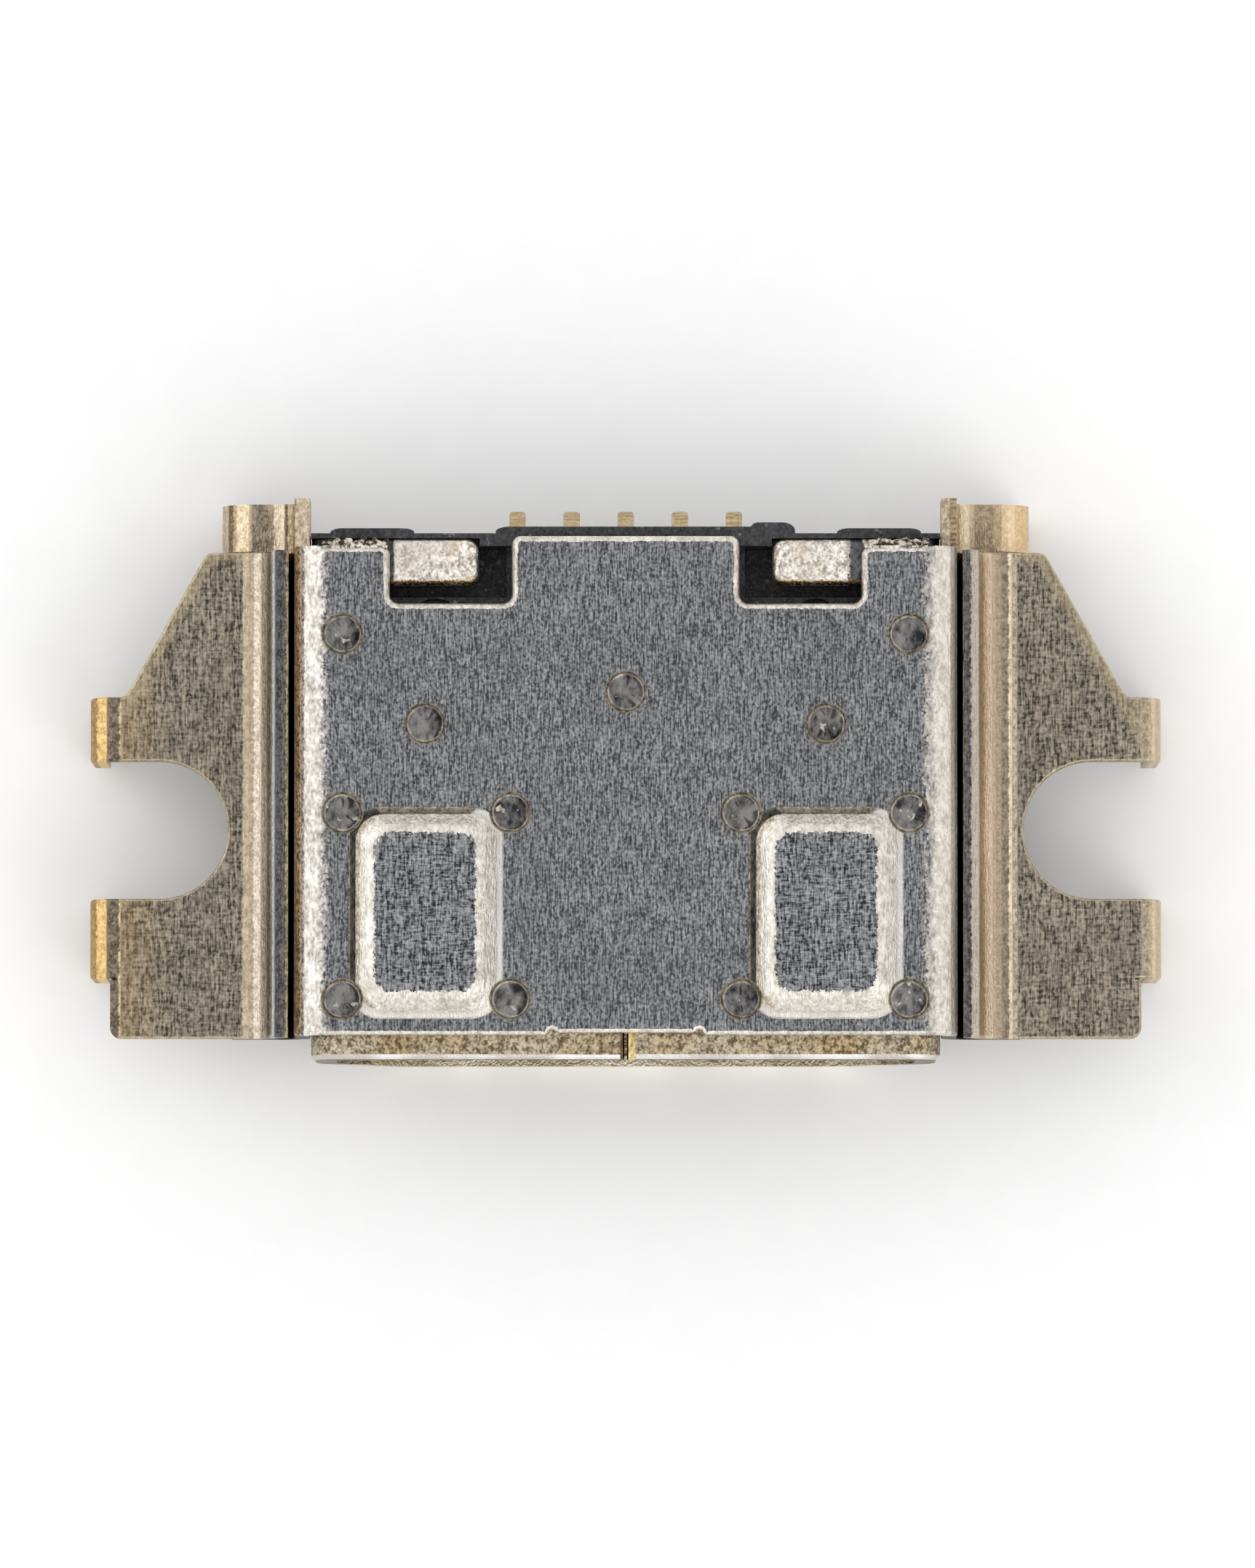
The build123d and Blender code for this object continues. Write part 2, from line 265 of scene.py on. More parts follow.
def soften(piece: Object, width: float) -> None:
    """Round the sharp edges of a moulded or stamped piece.

    Args:
        piece: The piece.
        width: How wide the rounding is.
    """
    improve(
        piece,
        "BEVEL",
        width=width,
        limit_method="ANGLE",
        angle_limit=SHARP,
        segments=2,
        use_clamp_overlap=True,
    )


def work(piece: Object, tool: Object, cut: Cut) -> None:
    """Cut a piece with a tool or join the tool to it, and throw the tool away.

    Args:
        piece: The piece to change.
        tool: A closed form.
        cut: What the tool does.
    """
    improve(piece, "BOOLEAN", operation=cut.value, object=tool, solver="EXACT")
    bpy.data.objects.remove(tool, do_unlink=True)


def mirror_half(piece: Object) -> None:
    """Add the left half to a right one, welded where they meet in the middle."""
    improve(piece, "MIRROR", use_axis=(True, False, False), merge_threshold=NEAR / 4)


def thicken(piece: Object, wall: float) -> None:
    """Give an open skin its thickness, away from the side that shows.

    Args:
        piece: The open sheet.
        wall: Its thickness.
    """
    with editing(piece):
        bpy.ops.mesh.select_mode(type="FACE")
        bpy.ops.mesh.select_all(action="SELECT")
        bpy.ops.mesh.remove_doubles(threshold=NEAR / 4)
        bpy.ops.mesh.normals_make_consistent(inside=False)
        mesh = bmesh.from_edit_mesh(piece.data)
        level = [face for face in mesh.faces if abs(face.normal.z) > LEVEL_FACE]
        highest = max(level, key=lambda face: face.calc_center_median().z)
        if highest.normal.z < 0:
            bpy.ops.mesh.flip_normals()
    piece.vertex_groups.new(name=BACK)
    improve(
        piece,
        "SOLIDIFY",
        thickness=wall,
        offset=-1,
        use_even_offset=True,
        use_quality_normals=True,
        shell_vertex_group=BACK,
    )
    with editing(piece):
        bpy.ops.mesh.select_all(action="SELECT")
        bpy.ops.mesh.dissolve_limited(angle_limit=LEFTOVER)


def mark_rim(piece: Object, width: float, wanted: Callable[[Any], bool]) -> None:
    """Mark the sheared edges on the side that shows, to be rolled to a width.

    Args:
        piece: The sheet, out of edit mode.
        width: The rim's width.
        wanted: A test that the edges pass.
    """
    back = piece.vertex_groups[BACK].index
    with editing(piece):
        deform = bmesh.from_edit_mesh(piece.data).verts.layers.deform.verify()

        def on_skin(edge: bmesh.types.BMEdge) -> bool:
            """Whether both ends of an edge belong to the side that shows."""
            return all(corner[deform].get(back, 0) < 0.5 for corner in edge.verts)

        pick(piece, Part.EDGES, lambda edge: is_sheared(edge) and on_skin(edge) and wanted(edge))
        bpy.ops.transform.edge_bevelweight(value=width / ROLL_UNIT)


def roll_rims(piece: Object, steps: int = 4) -> None:
    """Roll all marked edges.

    Args:
        piece: The sheet.
        steps: Segments of each rim.
    """
    improve(
        piece,
        "BEVEL",
        width=ROLL_UNIT,
        limit_method="WEIGHT",
        segments=steps,
        use_clamp_overlap=False,
    )


def settle(name: str, scale: tuple = (1, 1, 1)) -> Object:
    """Name the primitive just added, and bring its place and size into its mesh.

    Args:
        name: The object's name.
        scale: Its size along each axis.

    Returns:
        The new piece.
    """
    piece = bpy.context.active_object
    piece.name = name
    piece.scale = scale
    bpy.ops.object.transform_apply()
    return piece


def new_plate(name: str, x: tuple, y: tuple, z: float) -> Object:
    """A flat rectangle that looks up.

    Args:
        name: The object's name.
        x: Lowest and highest X.
        y: Lowest and highest Y.
        z: Its height.

    Returns:
        The new piece.
    """
    bpy.ops.object.select_all(action="DESELECT")
    bpy.ops.mesh.primitive_plane_add(size=1, location=(sum(x) / 2, sum(y) / 2, z))
    return settle(name, (x[1] - x[0], y[1] - y[0], 1))


def new_block(name: str, x: tuple, y: tuple, z: tuple) -> Object:
    """A plain block between two corners.

    Args:
        name: The object's name.
        x: Lowest and highest X.
        y: Lowest and highest Y.
        z: Lowest and highest Z.

    Returns:
        The new piece.
    """
    bpy.ops.object.select_all(action="DESELECT")
    bpy.ops.mesh.primitive_cube_add(size=1, location=(sum(x) / 2, sum(y) / 2, sum(z) / 2))
    return settle(name, (x[1] - x[0], y[1] - y[0], z[1] - z[0]))


def new_pin(name: str, place: tuple, radius: float, z: tuple, sides: int) -> Object:
    """An upright round bar.

    Args:
        name: The object's name.
        place: X and Y of its axis.
        radius: Its radius.
        z: Lowest and highest Z.
        sides: How many flat sides stand for the round one.

    Returns:
        The new piece.
    """
    bpy.ops.object.select_all(action="DESELECT")
    bpy.ops.mesh.primitive_cylinder_add(
        vertices=sides, radius=radius, depth=z[1] - z[0], location=(*place, sum(z) / 2)
    )
    return settle(name)


def join(pieces: list[Object]) -> Object:
    """Join pieces to the first of them.

    Args:
        pieces: The pieces, each with a mesh of its own.

    Returns:
        The joined piece, with its place in its mesh.
    """
    only(pieces[0])
    for piece in pieces:
        piece.select_set(True)
    if len(pieces) > 1:
        bpy.ops.object.join()
    bpy.ops.object.transform_apply()
    return bpy.context.active_object


def duplicate(piece: Object) -> Object:
    """Copy a piece, with a mesh of its own."""
    only(piece)
    bpy.ops.object.duplicate(linked=False)
    return bpy.context.active_object


def mirrored_copy(piece: Object, name: str) -> Object:
    """The same piece for the other side, with a mesh of its own.

    Args:
        piece: The piece on one side.
        name: The copy's name.

    Returns:
        The copy, mirrored across the middle.
    """
    copy = duplicate(piece)
    copy.name = name
    copy.scale = (-1, 1, 1)
    bpy.ops.object.transform_apply()
    with editing(copy):
        bpy.ops.mesh.select_all(action="SELECT")
        bpy.ops.mesh.normals_make_consistent(inside=False)
    return copy


def from_node(name: str, node: str) -> Object:
    """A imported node's form as a clean mesh of its own, in millimetres.

    Args:
        name: The new object's name.
        node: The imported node.

    Returns:
        The new piece.
    """
    piece = bpy.data.objects.new(name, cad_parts[node].data.copy())
    bpy.context.collection.objects.link(piece)
    piece.scale = (1 / MM, 1 / MM, 1 / MM)
    only(piece)
    bpy.ops.object.transform_apply()
    bpy.ops.mesh.customdata_custom_splitnormals_clear()
    with editing(piece):
        bpy.ops.mesh.select_all(action="SELECT")
        bpy.ops.mesh.remove_doubles(threshold=NEAR / 4)
        bpy.ops.mesh.normals_make_consistent(inside=False)
        bpy.ops.mesh.dissolve_limited(angle_limit=CREASE)
    return piece


def finish_form(piece: Object) -> None:
    """Shade a whole piece and bring it from millimetres to the scene's metres.

    Args:
        piece: The piece, in millimetres.
    """
    only(piece)
    bpy.ops.object.shade_smooth_by_angle(angle=SMOOTH)
    improve(piece, "WEIGHTED_NORMAL", keep_sharp=True)
    piece.vertex_groups.clear()
    piece.scale = (MM, MM, MM)
    bpy.ops.object.transform_apply()


def seat(piece: Object, slot: str, *nodes: str) -> None:
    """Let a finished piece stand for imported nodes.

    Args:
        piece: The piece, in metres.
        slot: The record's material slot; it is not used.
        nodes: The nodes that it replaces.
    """
    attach(piece, "root")
    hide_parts(*nodes)
    log.info("%s: %d faces", piece.name, len(piece.data.polygons))


class PressBrake:
    """Folds on from the selected edges, one run or bend at a time, seen from the mouth."""

    def __init__(self, x: float, z: float, heading: float) -> None:
        """Start at the selected edges.

        Args:
            x: Their X.
            z: Their height.
            heading: The way on, in degrees from +X towards +Z.
        """
        self.x = x
        self.z = z
        self.heading = heading

    def run(self, length: float) -> None:
        """Go straight on.

        Args:
            length: How far.
        """
        way = math.radians(self.heading)
        step_x, step_z = length * math.cos(way), length * math.sin(way)
        extrude(x=step_x, z=step_z)
        self.x += step_x
        self.z += step_z

    def bend(self, radius: float, turn: float) -> None:
        """Go round a bend.

        Args:
            radius: The bend's radius at the skin that is being folded.
            turn: How far, in degrees, to the left if positive.
        """
        way = math.radians(self.heading)
        hand = math.copysign(1, turn)
        centre_x = self.x - hand * radius * math.sin(way)
        centre_z = self.z + hand * radius * math.cos(way)
        steps = max(3, round(BEND_STEPS * abs(turn) / 90))
        bpy.ops.mesh.spin(
            steps=steps, angle=math.radians(turn), center=(centre_x, 0, centre_z), axis=(0, 1, 0)
        )
        self.heading += turn
        way = math.radians(self.heading)
        self.x = centre_x + hand * radius * math.sin(way)
        self.z = centre_z - hand * radius * math.cos(way)


@dataclass(frozen=True)
class Datum:
    """Edges and heights that several pieces share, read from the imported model, in millimetres."""

    mouth: float
    half_shell: float
    roof: float
    shell_rear: float
    cover_front: float
    leg_rear: float
    leg_reach: float
    leg_tip: float
    crown: float
    wing_front: float
    wing_rear: float
    wing_in: float
    wing_reach: float
    wing_edge_top: float
    lip_tip: float

    @classmethod
    def read(cls) -> "Datum":
        """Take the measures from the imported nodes.

        Returns:
            The shared measures.
        """
        shell_low, shell_high = (Vector(corner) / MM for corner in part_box("inner_shell"))
        cover_low, cover_high = (Vector(corner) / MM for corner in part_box("cover_shell"))
        wing_low, wing_high = (Vector(corner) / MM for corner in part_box("right_bracket"))
        return cls(
            mouth=shell_low.y,
            half_shell=shell_high.x,
            roof=shell_high.z,
            shell_rear=shell_high.y,
            cover_front=cover_low.y,
            leg_rear=cover_high.y,
            leg_reach=cover_high.x,
            leg_tip=cover_low.z,
            crown=cover_high.z,
            wing_front=wing_low.y,
            wing_rear=wing_high.y,
            wing_in=wing_low.x,
            wing_reach=wing_high.x,
            wing_edge_top=wing_high.z,
            lip_tip=wing_low.z,
        )


def linear(code: str) -> tuple[float, float, float, float]:
    """Turn an sRGB hex colour to linear.

    Args:
        code: Six hex digits after a hash.

    Returns:
        Linear red, green and blue, and full alpha.
    """
    shares = [int(code[place : place + 2], 16) / 255 for place in (1, 3, 5)]
    bright = [s / 12.92 if s <= 0.04045 else ((s + 0.055) / 1.055) ** 2.4 for s in shares]
    return (bright[0], bright[1], bright[2], 1.0)


class Gauge(Enum):
    """What a coat's limits are measured on: a place in millimetres, or a part of the normal."""

    X = "x"
    SIDE = "distance from the middle"
    Y = "y"
    Z = "z"
    LEVEL = "upright part of the normal"
    LEAN_X = "normal along x"
    LEAN_Y = "normal along y"
    WELD = "distance from the nearest weld"
    SLANT = "distance across a slanted edge"


class Grain(Enum):
    """Patterns: lowest and highest noise, then each layer's weight and repeats per millimetre.

    The finest layers, 44 to 60 repeats per millimetre, are about one pixel of the preview. Measured
    on three flat patches, the grain comes out 0.7 to 0.85 times as long as the photograph's across
    the body and 0.8 to 1.0 times along it. How fine the real brushing is, neither picture shows.
    """

    BRUSHED = (0.42, 0.64, (0.50, 56.0, 6.0, 6.0), (0.50, 30.0, 24.0, 30.0))
    SCRATCHED = (0.57, 0.68, (1.0, 60.0, 3.2, 60.0))
    HATCHED = (0.40, 0.61, (0.42, 44, 5, 44), (0.20, 6, 40, 40), (0.38, 26, 20, 26))
    CROSSED = (0.42, 0.61, (0.4, 50, 7, 50), (0.26, 8, 46, 46), (0.34, 24, 24, 24))
    MOTTLED = (0.34, 0.62, (0.6, 26.0, 14.0, 26.0), (0.4, 9.0, 5.0, 9.0))
    SPECKLED = (0.40, 0.60, (0.5, 34.0, 28.0, 34.0), (0.5, 15.0, 12.0, 15.0))
    SMOOTH = (0.30, 0.70, (1.0, 9.0, 1.6, 9.0))
    CLOUDED = (0.42, 0.62, (1.0, 1.5, 1.1, 1.5))
    DENTED = (0.40, 0.60, (0.6, 3.4, 3.4, 3.4), (0.4, 16.0, 9.0, 16.0))
    GLINTS = (0.66, 0.70, (1.0, 9.0, 9.0, 9.0))
    TORN = (0.44, 0.60, (0.5, 6.0, 10.0, 10.0), (0.5, 22.0, 26.0, 26.0))
    LINED = (0.35, 0.65, (0.6, 5.0, 34.0, 20.0), (0.4, 24.0, 24.0, 24.0))
    PAPER = (0.30, 0.70, (1.0, 2.0, 2.0, 2.0))


@dataclass(frozen=True)
class Coat:
    """Two-toned layer of a finish, and where on the piece it shows."""

    dark: str
    light: str
    grain: Grain = Grain.MOTTLED
    where: tuple = ()
    through: Optional[Grain] = None
    ragged: float = 0.0
    share: float = 1.0


@dataclass(frozen=True)
class Finish:
    """One material: a base and the coats that lie over it, in order."""

    name: str
    base: Coat
    coats: tuple = ()
    metallic: float = 1.0
    roughness: tuple = (0.36, 0.46)
    relief: float = 0.005
    welds: tuple = ()
    slant: tuple = (1.0, 0.0)

    def material(self) -> Material:
        """Mix all the coats and make the material.

        Returns:
            The material.
        """
        recipe = Recipe(self.name, self.welds, self.slant)
        colour = linear(self.base.light)
        for coat in (self.base, *self.coats):
            colour = recipe.lay(colour, coat)
        pattern = recipe.grain(self.base.grain)
        rough, rougher = self.roughness
        gloss = recipe.add(
            "MapRange", inputs={"Value": pattern, "To Min": rougher, "To Max": rough}
        )
        bump = recipe.add("Bump", inputs={"Height": pattern, "Distance": self.relief * MM})
        shader = recipe.add(
            "BsdfPrincipled",
            inputs={
                "Base Color": colour,
                "Metallic": self.metallic,
                "Roughness": gloss,
                "Normal": bump,
            },
        )
        recipe.add("OutputMaterial", inputs={"Surface": shader})
        return recipe.material


def add_node(
    tree: NodeTree,
    kind: str,
    settings: Optional[dict] = None,
    inputs: Optional[dict] = None,
    out: Any = 0,
) -> Optional[NodeSocket]:
    """Add a node with its settings and links.

    Args:
        tree: The tree that it is added to.
        kind: The node's type, without its common prefix.
        settings: Properties of the node.
        inputs: Values or sockets for its inputs, by name or number.
        out: The output that is wanted, by name or number.

    Returns:
        That output, or nothing if the node ends the chain.
    """
    node = tree.nodes.new("ShaderNode" + kind)
    for name, value in (settings or {}).items():
        setattr(node, name, value)
    for key, value in (inputs or {}).items():
        if isinstance(value, NodeSocket):
            tree.links.new(value, node.inputs[key])
        else:
            node.inputs[key].default_value = value
    return node.outputs[out] if node.outputs else None


class Recipe:
    """The nodes of one material, with what its patterns are measured on."""

    def __init__(self, name: str, welds: tuple, slant: tuple) -> None:
        """Start a material and take its measures.

        Args:
            name: The material's name.
            welds: Distance from the middle and Y of each weld spot.
            slant: The way across a slanted edge on the right, in plan.
        """
        self.material = bpy.data.materials.new(name)
        self.material.use_nodes = True
        self.tree = self.material.node_tree
        self.tree.nodes.clear()
        self.patterns = {}
        space = self.add("TexCoord", out="Object").node
        self.place = self.add(
            "VectorMath", {"operation": "SCALE"}, {0: space.outputs["Object"], "Scale": 1 / MM}
        )
        x, y, z = self.add("SeparateXYZ", inputs={0: self.place}).node.outputs
        lean = self.add("SeparateXYZ", inputs={0: space.outputs["Normal"]}).node.outputs
        side = self.add("Math", {"operation": "ABSOLUTE"}, {0: x})
        level = self.add("Math", {"operation": "ABSOLUTE"}, {0: lean[2]})
        plan = self.add("CombineXYZ", inputs={0: side, 1: y})
        across = self.add(
            "VectorMath", {"operation": "DOT_PRODUCT"}, {0: plan, 1: (*slant, 0)}, out="Value"
        )
        self.gauges = {
            Gauge.X: x,
            Gauge.SIDE: side,
            Gauge.Y: y,
            Gauge.Z: z,
            Gauge.LEVEL: level,
            Gauge.LEAN_X: lean[0],
            Gauge.LEAN_Y: lean[1],
            Gauge.WELD: self._nearest(plan, welds),
            Gauge.SLANT: across,
        }

    def add(self, *wanted: Any, **named: Any) -> Optional[NodeSocket]:
        """Add a node to this material, as add_node does."""
        return add_node(self.tree, *wanted, **named)

    def _nearest(self, plan: NodeSocket, places: tuple) -> Any:
        """Measure the distance in plan to the nearest of some places.

        Args:
            plan: Distance from the middle, and Y.
            places: The same for each place.

        Returns:
            The distance, which is far if there are no places.
        """
        least = EVER
        for place in places:
            away = self.add(
                "VectorMath", {"operation": "DISTANCE"}, {0: plan, 1: (*place, 0)}, out="Value"
            )
            least = self.add("Math", {"operation": "MINIMUM"}, {0: away, 1: least})
        return least

    def grain(self, kind: Grain) -> NodeSocket:
        """Add up a pattern's layers of noise, once for each material.

        Args:
            kind: The pattern.

        Returns:
            A share between none and all.
        """
        if kind not in self.patterns:
            low, high, *layers = kind.value
            total = 0.0
            for weight, *repeats in layers:
                spread = self.add(
                    "VectorMath", {"operation": "MULTIPLY"}, {0: self.place, 1: repeats}
                )
                noise = self.add("TexNoise", inputs={"Vector": spread, "Scale": 1.0, "Detail": 2.0})
                total = self.add(
                    "Math", {"operation": "MULTIPLY_ADD"}, {0: noise, 1: weight, 2: total}
                )
            self.patterns[kind] = self.add(
                "MapRange", inputs={"Value": total, "From Min": low, "From Max": high}
            )
        return self.patterns[kind]

    def lay(self, under: Any, coat: Coat) -> NodeSocket:
        """Lay a coat over a colour.

        Args:
            under: The colour so far.
            coat: The coat.

        Returns:
            The new colour.
        """
        share = coat.share
        if coat.through:
            share = self.add(
                "Math", {"operation": "MULTIPLY"}, {0: self.grain(coat.through), 1: share}
            )
        for gauge, low, high, soft in coat.where:
            value = self.gauges[gauge]
            if coat.ragged:
                value = self.add(
                    "Math",
                    {"operation": "MULTIPLY_ADD"},
                    {0: self.grain(Grain.SPECKLED), 1: coat.ragged, 2: value},
                )
            for limit, before in ((low, 0.0), (high, 1.0)):
                inside = self.add(
                    "MapRange",
                    {"interpolation_type": "SMOOTHSTEP"},
                    {
                        "Value": value,
                        "From Min": limit - soft,
                        "From Max": limit + soft,
                        "To Min": before,
                        "To Max": 1.0 - before,
                    },
                )
                share = self.add("Math", {"operation": "MULTIPLY"}, {0: inside, 1: share})
        tone = self.add(
            "Mix",
            {"data_type": "RGBA"},
            {"Factor": self.grain(coat.grain), 6: linear(coat.dark), 7: linear(coat.light)},
            out=2,
        )
        return self.add("Mix", {"data_type": "RGBA"}, {"Factor": share, 6: under, 7: tone}, out=2)


@dataclass
class CoverShell:
    """Stainless cover, folded from one sheet, with its pads, weld spots and solder legs."""

    datum: Datum
    sheet: float = 0.18
    side_gap: float = 0.02
    top_bend: float = 0.35
    tongue_half: float = 1.355
    tongue_length: float = 0.12
    notch_outer: float = 2.81
    notch_depth: float = 0.685
    notch_corner: float = 0.11
    flange_bend: float = 0.25
    flange_width: float = 0.77
    edge_rise: float = 0.64
    leg_bend: float = 0.39
    leg_slit: float = 0.03
    leg_chamfer: float = 0.12
    recess_half: float = 0.92
    recess_depth: float = 0.026
    relief: float = 0.042
    relief_sides: int = 20
    rear_rim: float = 0.085
    front_rim: float = 0.055
    stub_length: float = 0.075
    stub_gap: float = 0.03
    stub_pitch: float = 0.045
    stub_below: float = 0.02
    stub_drop: float = 0.025
    stub_root: float = 0.02
    stub_skin: float = 0.06
    stub_tear: float = 0.024
    stub_wave: float = 0.012
    stub_seeds: tuple = ((3, 1), (8, -1))
    pad_centre: float = 2.38
    pad_front: float = 0.52
    pad_width: float = 1.76
    pad_length: float = 2.44
    pad_corner: float = 0.34
    pad_slope: float = 0.225
    pad_crown: float = 0.09
    pad_foot: float = 0.05
    weld_radius: float = 0.225
    weld_crumple: float = 0.007
    weld_depth: float = 0.010
    weld_floor: float = 0.034
    weld_steps: tuple = ((0.022, 0.020), (0.035, 0.006), (0.05, 0.002), (0.06, 0.0))
    weld_tilt: float = 0.05
    weld_seed: int = 13
    punch_height: float = 0.35
    punch_sides: int = 36
    weld_rows: tuple = (
        (3.37, 5.06),
        (0.0, 4.37),
        (2.385, 3.99),
        (3.37, 2.93),
        (1.37, 2.93),
        (3.37, 0.71),
        (1.37, 0.71),
    )

    @property
    def top(self) -> float:
        """Height of the flat top."""
        return self.datum.roof + self.sheet

    @property
    def side_out(self) -> float:
        """Distance of the side walls' skin from the middle."""
        return self.datum.half_shell + self.side_gap + self.sheet

    @property
    def flange_top(self) -> float:
        """Height of the flanges' skin, which the wings rest on."""
        return self.datum.wing_edge_top - self.edge_rise

    @property
    def weld_places(self) -> list[tuple[float, float]]:
        """Distance from the middle and Y of each weld spot."""
        return [(x, self.datum.mouth + from_mouth) for x, from_mouth in self.weld_rows]

    def build(self) -> Object:
        """Fold, cut and press the cover.

        Returns:
            The whole cover, in metres.
        """
        cover = self._fold()
        mirror_half(cover)
        thicken(cover, self.sheet)
        self._round_corners(cover)
        self._recess_front(cover)
        self._roll(cover)
        self._press_pads(cover)
        self._weld(cover)
        cover = join([cover, *self._stubs()])
        finish_form(cover)
        return cover

    def _fold(self) -> Object:
        """Blank the flat top's right half and fold its side, flange and leg.

        Returns:
            The open skin of the right half.
        """
        datum = self.datum
        rear = datum.wing_rear
        flat_edge = self.side_out - self.top_bend
        notch_front = rear - self.notch_depth
        cover = new_plate("cover_sheet", (0, flat_edge), (datum.cover_front, rear), self.top)
        with editing(cover):
            score(x=(self.tongue_half, self.notch_outer), y=(notch_front,))
            blank_out(cover, (self.tongue_half, self.notch_outer), (notch_front, rear))
            pick_in(cover, Part.EDGES, x=(0, self.tongue_half), y=at(rear))
            extrude(y=self.tongue_length)
            pick_in(cover, Part.EDGES, x=at(flat_edge))
            brake = PressBrake(flat_edge, self.top, 0)
            brake.bend(self.top_bend, -90)
            brake.run(brake.z - self.flange_top - self.flange_bend)
            brake.bend(self.flange_bend, 90)
            leg_fold = datum.leg_reach - self.leg_bend
            brake.run(leg_fold - brake.x)
            brake.run(self.side_out + self.flange_width - brake.x)
            self._fold_leg(cover, leg_fold)
        return cover

    def _fold_leg(self, cover: Object, leg_fold: float) -> None:
        """Carry the side's rear on past the flange and fold the solder leg down.

        Args:
            cover: The open skin, in edit mode.
            leg_fold: Where the leg's fold starts.
        """
        datum = self.datum
        rear = datum.wing_rear
        wall_top = self.top - self.top_bend
        start = rear + self.leg_slit
        pick_in(cover, Part.EDGES, x=(self.side_out, leg_fold), y=at(rear), z=(0, wall_top))
        extrude(y=self.leg_slit)
        extrude(y=datum.leg_rear - start)
        pick_in(cover, Part.EDGES, x=at(leg_fold), y=(start, datum.leg_rear))
        brake = PressBrake(leg_fold, self.flange_top, 0)
        brake.bend(self.leg_bend, -90)
        brake.run(brake.z - datum.leg_tip)
        pick_in(cover, Part.CORNERS, z=at(datum.leg_tip))
        bpy.ops.mesh.bevel(offset=self.leg_chamfer, segments=1, affect="VERTICES")

    def _round_corners(self, cover: Object) -> None:
        """Round the corners of the notches and the tongue.

        Args:
            cover: The cover's sheet.
        """
        rear = self.datum.wing_rear
        notch_front = rear - self.notch_depth
        for x, y in (
            (self.tongue_half, notch_front),
            (self.notch_outer, notch_front),
            (self.tongue_half, rear + self.tongue_length),
            (self.notch_outer, rear),
        ):
            round_corner(cover, x, y, self.notch_corner)

    def _recess_front(self, cover: Object) -> None:
        """Set the middle of the front edge back, with a round relief at each end.

        Args:
            cover: The cover's sheet.
        """
        front = self.datum.cover_front
        through = (self.datum.roof - self.sheet, self.top + self.sheet)
        back = front + self.recess_depth
        across = (-self.recess_half, self.recess_half)
        block = new_block("recess_tool", across, (front - self.sheet, back), through)
        centre = self.recess_half - self.relief
        pins = [
            new_pin("relief_tool", (side * centre, back), self.relief, through, self.relief_sides)
            for side in (-1, 1)
        ]
        work(cover, block, Cut.TAKE)
        for pin in pins:
            work(cover, pin, Cut.TAKE)

    def _roll(self, cover: Object) -> None:
        """Roll the sheared edges, more at the rear than at the front.

        Args:
            cover: The cover's sheet.
        """
        high = (self.top - self.top_bend - NEAR, math.inf)
        mark_rim(cover, self.rear_rim, lambda edge: within(edge, y=(0, math.inf), z=at(self.top)))
        mark_rim(cover, self.front_rim, lambda edge: within(edge, y=(-math.inf, 0), z=high))
        roll_rims(cover)

    def _pad_form(self, name: str, shrink: float, drop: float) -> Object:
        """The form of the right pad, or of the hollow below it.

        Args:
            name: The object's name.
            shrink: How much narrower it is on each side.
            drop: How much lower it is.

        Returns:
            A closed form with sloping sides.
        """
        half_x = self.pad_width / 2 - shrink
        half_y = self.pad_length / 2 - shrink
        middle_y = self.datum.mouth + self.pad_front + self.pad_length / 2
        foot = self.top - drop
        crown = self.datum.crown - drop
        form = new_block(
            name,
            (self.pad_centre - half_x, self.pad_centre + half_x),
            (middle_y - half_y, middle_y + half_y),
            (foot - self.sheet / 2, crown),
        )
        with editing(form):
            pick(form, Part.EDGES, is_upright)
            bevel_edges(self.pad_corner - shrink / 2, segments=10)
            bpy.ops.mesh.select_all(action="SELECT")
            bpy.ops.mesh.bisect(plane_co=(0, 0, foot), plane_no=(0, 0, 1))
            pick_in(form, Part.FACES, z=at(crown))
            bpy.ops.transform.resize(
                value=((half_x - self.pad_slope) / half_x, (half_y - self.pad_slope) / half_y, 1),
                center_override=(self.pad_centre, middle_y, crown),
            )
            pick_in(form, Part.EDGES, z=at(crown))
            bevel_edges(self.pad_crown, segments=6)
        return form

    def _press_pads(self, cover: Object) -> None:
        """Raise the two pads out of the sheet, hollow below.

        Args:
            cover: The cover's sheet.
        """
        pad = self._pad_form("pad_tool", 0, 0)
        hollow = self._pad_form("hollow_tool", self.sheet / 2, self.sheet)
        work(cover, join([pad, mirrored_copy(pad, "pad_tool_left")]), Cut.JOIN)
        work(cover, join([hollow, mirrored_copy(hollow, "hollow_tool_left")]), Cut.TAKE)
        front = self.datum.mouth + self.pad_front
        near_pad = (front, front + self.pad_length)
        with editing(cover):
            pick(
                cover,
                Part.EDGES,
                lambda edge: len(edge.link_faces) == 2
                and edge.calc_face_angle() > PAD_FOLD
                and within(edge, y=near_pad, z=at(self.top)),
            )
            bevel_edges(self.pad_foot, segments=4)

